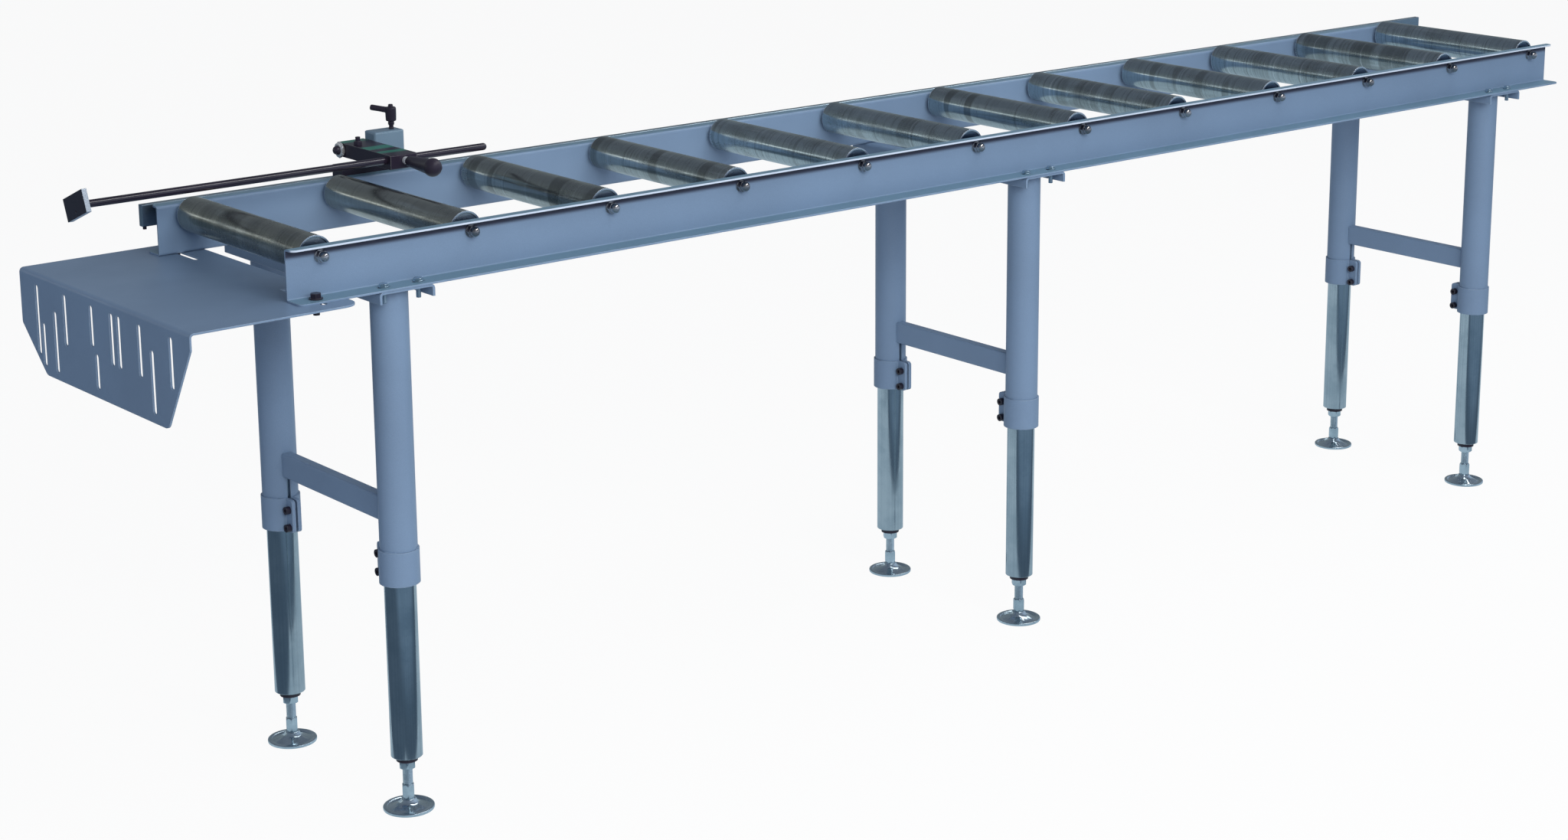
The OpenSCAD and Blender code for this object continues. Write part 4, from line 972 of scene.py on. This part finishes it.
def weld_beads():
    """All beads in one piece; an arc is its start and sweep in degrees, and each bead has its own seed."""
    parts = []
    seed = 0
    for leg in LEGS:
        clamp_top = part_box(f"leg_clamps_{leg}")[1].z
        for side in SIDES:
            low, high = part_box(f"leg_tube_{leg}_{side}")
            middle = (low + high) / 2
            radius = (high.x - low.x) / 2
            seams = (
                (CLAMP_ARCS, CLAMP_BEAD, radius + CLAMP_BEAD_OFF, clamp_top + CLAMP_BEAD_RISE),
                (HEAD_ARCS, HEAD_BEAD, radius + HEAD_BEAD_OFF, high.z - HEAD_BEAD_DROP),
            )
            for arcs, size, seam_radius, height in seams:
                spot = at_point(middle.x, middle.y, height)
                for angle, sweep in arcs:
                    seed += 1
                    solid = bead(seam_radius, math.radians(angle), math.radians(sweep), size, seed)
                    parts.append((solid, spot))
    dress("weld_beads", gather(parts), PAINT, "table", sharp=60.0)


weld_beads()


# Studio: a paper floor that the camera sees as white, a soft room and two lamps
FLOOR_HALF = 60.0
PAPER_LEFT, PAPER_FRONT, PAPER_FADE = -1.43, -0.37, 0.03
PAPER_SEEN = colour(0.44, 0.54, 0.62)
NEAR_FLOOR, FAR_FLOOR = colour(0.085, 0.125, 0.175), colour(0.165, 0.240, 0.330)
NEAR_EDGE, FAR_EDGE = -0.5, -1.0
CAMERA_SHARE = 0.93
SIDE_WALL, BACK_WALL = colour(0.20, 0.24, 0.30), colour(0.20, 0.23, 0.25)
ROOM, CEILING = colour(0.50, 0.58, 0.72), colour(0.15, 0.17, 0.21)
HORIZON, HORIZON_LOW, HORIZON_HIGH = colour(1.5, 1.6, 1.65), 0.130, 0.165
WARM_LIGHT, COOL_LIGHT = (1.0, 0.98, 0.93), (0.97, 0.99, 1.0)
CAMERA_LENS, CAMERA_SHIFT = 66.47, (-0.03, -0.08)
CAMERA_PLACE, CAMERA_TURN = (-3.4891, -3.8516, 1.8562), (76.358, 0.155, -40.095)


def make_floor():
    """Matt paper; what metal sees of it is light under the table and dark in front of it."""
    bm = bmesh.new()
    bmesh.ops.create_grid(bm, x_segments=1, y_segments=1, size=FLOOR_HALF)
    mesh = bpy.data.meshes.new("floor")
    bm.to_mesh(mesh)
    bm.free()
    floor = bpy.data.objects.new("floor", mesh)
    bpy.context.scene.collection.objects.link(floor)
    material = bpy.data.materials.new("paper_floor")
    material.use_nodes = True
    tree = material.node_tree
    tree.nodes.clear()
    path = add(tree, "ShaderNodeLightPath").outputs
    at = parts_of(tree, add(tree, "ShaderNodeTexCoord").outputs["Object"])
    left = remap(tree, at["X"], PAPER_LEFT - PAPER_FADE, PAPER_LEFT)
    front = remap(tree, at["Y"], PAPER_FRONT - PAPER_FADE, PAPER_FRONT)
    paper = maths(tree, "MULTIPLY", left, front)
    dark = blend(tree, remap(tree, at["Y"], NEAR_EDGE, FAR_EDGE), NEAR_FLOOR, FAR_FLOOR)
    seen = blend(tree, paper, dark, PAPER_SEEN)
    white = blend(tree, path["Is Glossy Ray"], grey(1.0), seen)
    matt = add(tree, "ShaderNodeBsdfDiffuse", {"Color": grey(0.85)}).outputs[0]
    glow = add(tree, "ShaderNodeEmission", {"Color": white, "Strength": 1.0}).outputs[0]
    to_camera = maths(tree, "MULTIPLY", path["Is Camera Ray"], CAMERA_SHARE)
    share = maths(tree, "MAXIMUM", to_camera, path["Is Glossy Ray"])
    mixed = add(tree, "ShaderNodeMixShader", {0: share, 1: matt, 2: glow}).outputs[0]
    add(tree, "ShaderNodeOutputMaterial", {"Surface": mixed})
    mesh.materials.append(material)


def make_room():
    """Light from all round, darker above and left, with a bright band low behind; to the camera, white."""
    world = bpy.data.worlds.new("studio")
    world.use_nodes = True
    tree = world.node_tree
    tree.nodes.clear()
    path = add(tree, "ShaderNodeLightPath").outputs
    way = parts_of(tree, add(tree, "ShaderNodeTexCoord").outputs["Generated"])
    ceiling = remap(tree, way["Z"], 0.15, 0.7)
    mirrored = blend(tree, remap(tree, way["X"], -0.9, 0.1), SIDE_WALL, ROOM)
    mirrored = blend(tree, remap(tree, way["Y"], 0.1, 0.6), mirrored, BACK_WALL)
    above = remap(tree, way["Z"], HORIZON_LOW - 0.02, HORIZON_LOW)
    below = remap(tree, way["Z"], HORIZON_HIGH + 0.02, HORIZON_HIGH)
    behind = remap(tree, way["Y"], 0.2, 0.4)
    left = remap(tree, way["X"], 0.0, -0.2)
    height = maths(tree, "MULTIPLY", above, below)
    band = maths(tree, "MULTIPLY", height, maths(tree, "MULTIPLY", behind, left))
    mirrored = blend(tree, band, mirrored, HORIZON)
    room = blend(tree, path["Is Glossy Ray"], ROOM, mirrored)
    lit = blend(tree, ceiling, room, CEILING)
    seen = blend(tree, path["Is Camera Ray"], lit, grey(1.0))
    background = add(tree, "ShaderNodeBackground", {"Color": seen, "Strength": 1.0}).outputs[0]
    add(tree, "ShaderNodeOutputWorld", {"Surface": background})
    bpy.context.scene.world = world


def soft_lamp(name, spot, aim, size, power, tint, mirrored=True):
    """A rectangular lamp that looks at a point; metal may be kept from mirroring it."""
    data = bpy.data.lights.new(name, "AREA")
    data.shape = "RECTANGLE"
    data.size, data.size_y = size
    data.energy = power
    data.color = tint
    lamp = bpy.data.objects.new(name, data)
    lamp.location = spot
    lamp.visible_glossy = mirrored
    lamp.rotation_euler = (Vector(aim) - Vector(spot)).to_track_quat("-Z", "Y").to_euler()
    bpy.context.scene.collection.objects.link(lamp)


def make_camera():
    """The camera that was solved from the photograph, in the part's own frame."""
    data = bpy.data.cameras.new("camera")
    data.sensor_width = 36.0
    data.lens = CAMERA_LENS
    data.shift_x, data.shift_y = CAMERA_SHIFT
    data.clip_end = 200.0
    camera = bpy.data.objects.new("camera", data)
    camera.location = CAMERA_PLACE
    camera.rotation_euler = [math.radians(angle) for angle in CAMERA_TURN]
    bpy.context.scene.collection.objects.link(camera)
    bpy.context.scene.camera = camera


make_camera()
make_floor()
make_room()
soft_lamp("front_lamp", (-2.1, -6.2, 3.9), (0.0, 0.0, 0.6), (6.0, 2.4), 370.0, WARM_LIGHT, mirrored=False)
soft_lamp("strip_lamp", (1.2, -0.9, 3.3), (0.6, 0.0, 0.9), (6.0, 0.6), 50.0, COOL_LIGHT)

bpy.context.scene.view_settings.view_transform = "Standard"
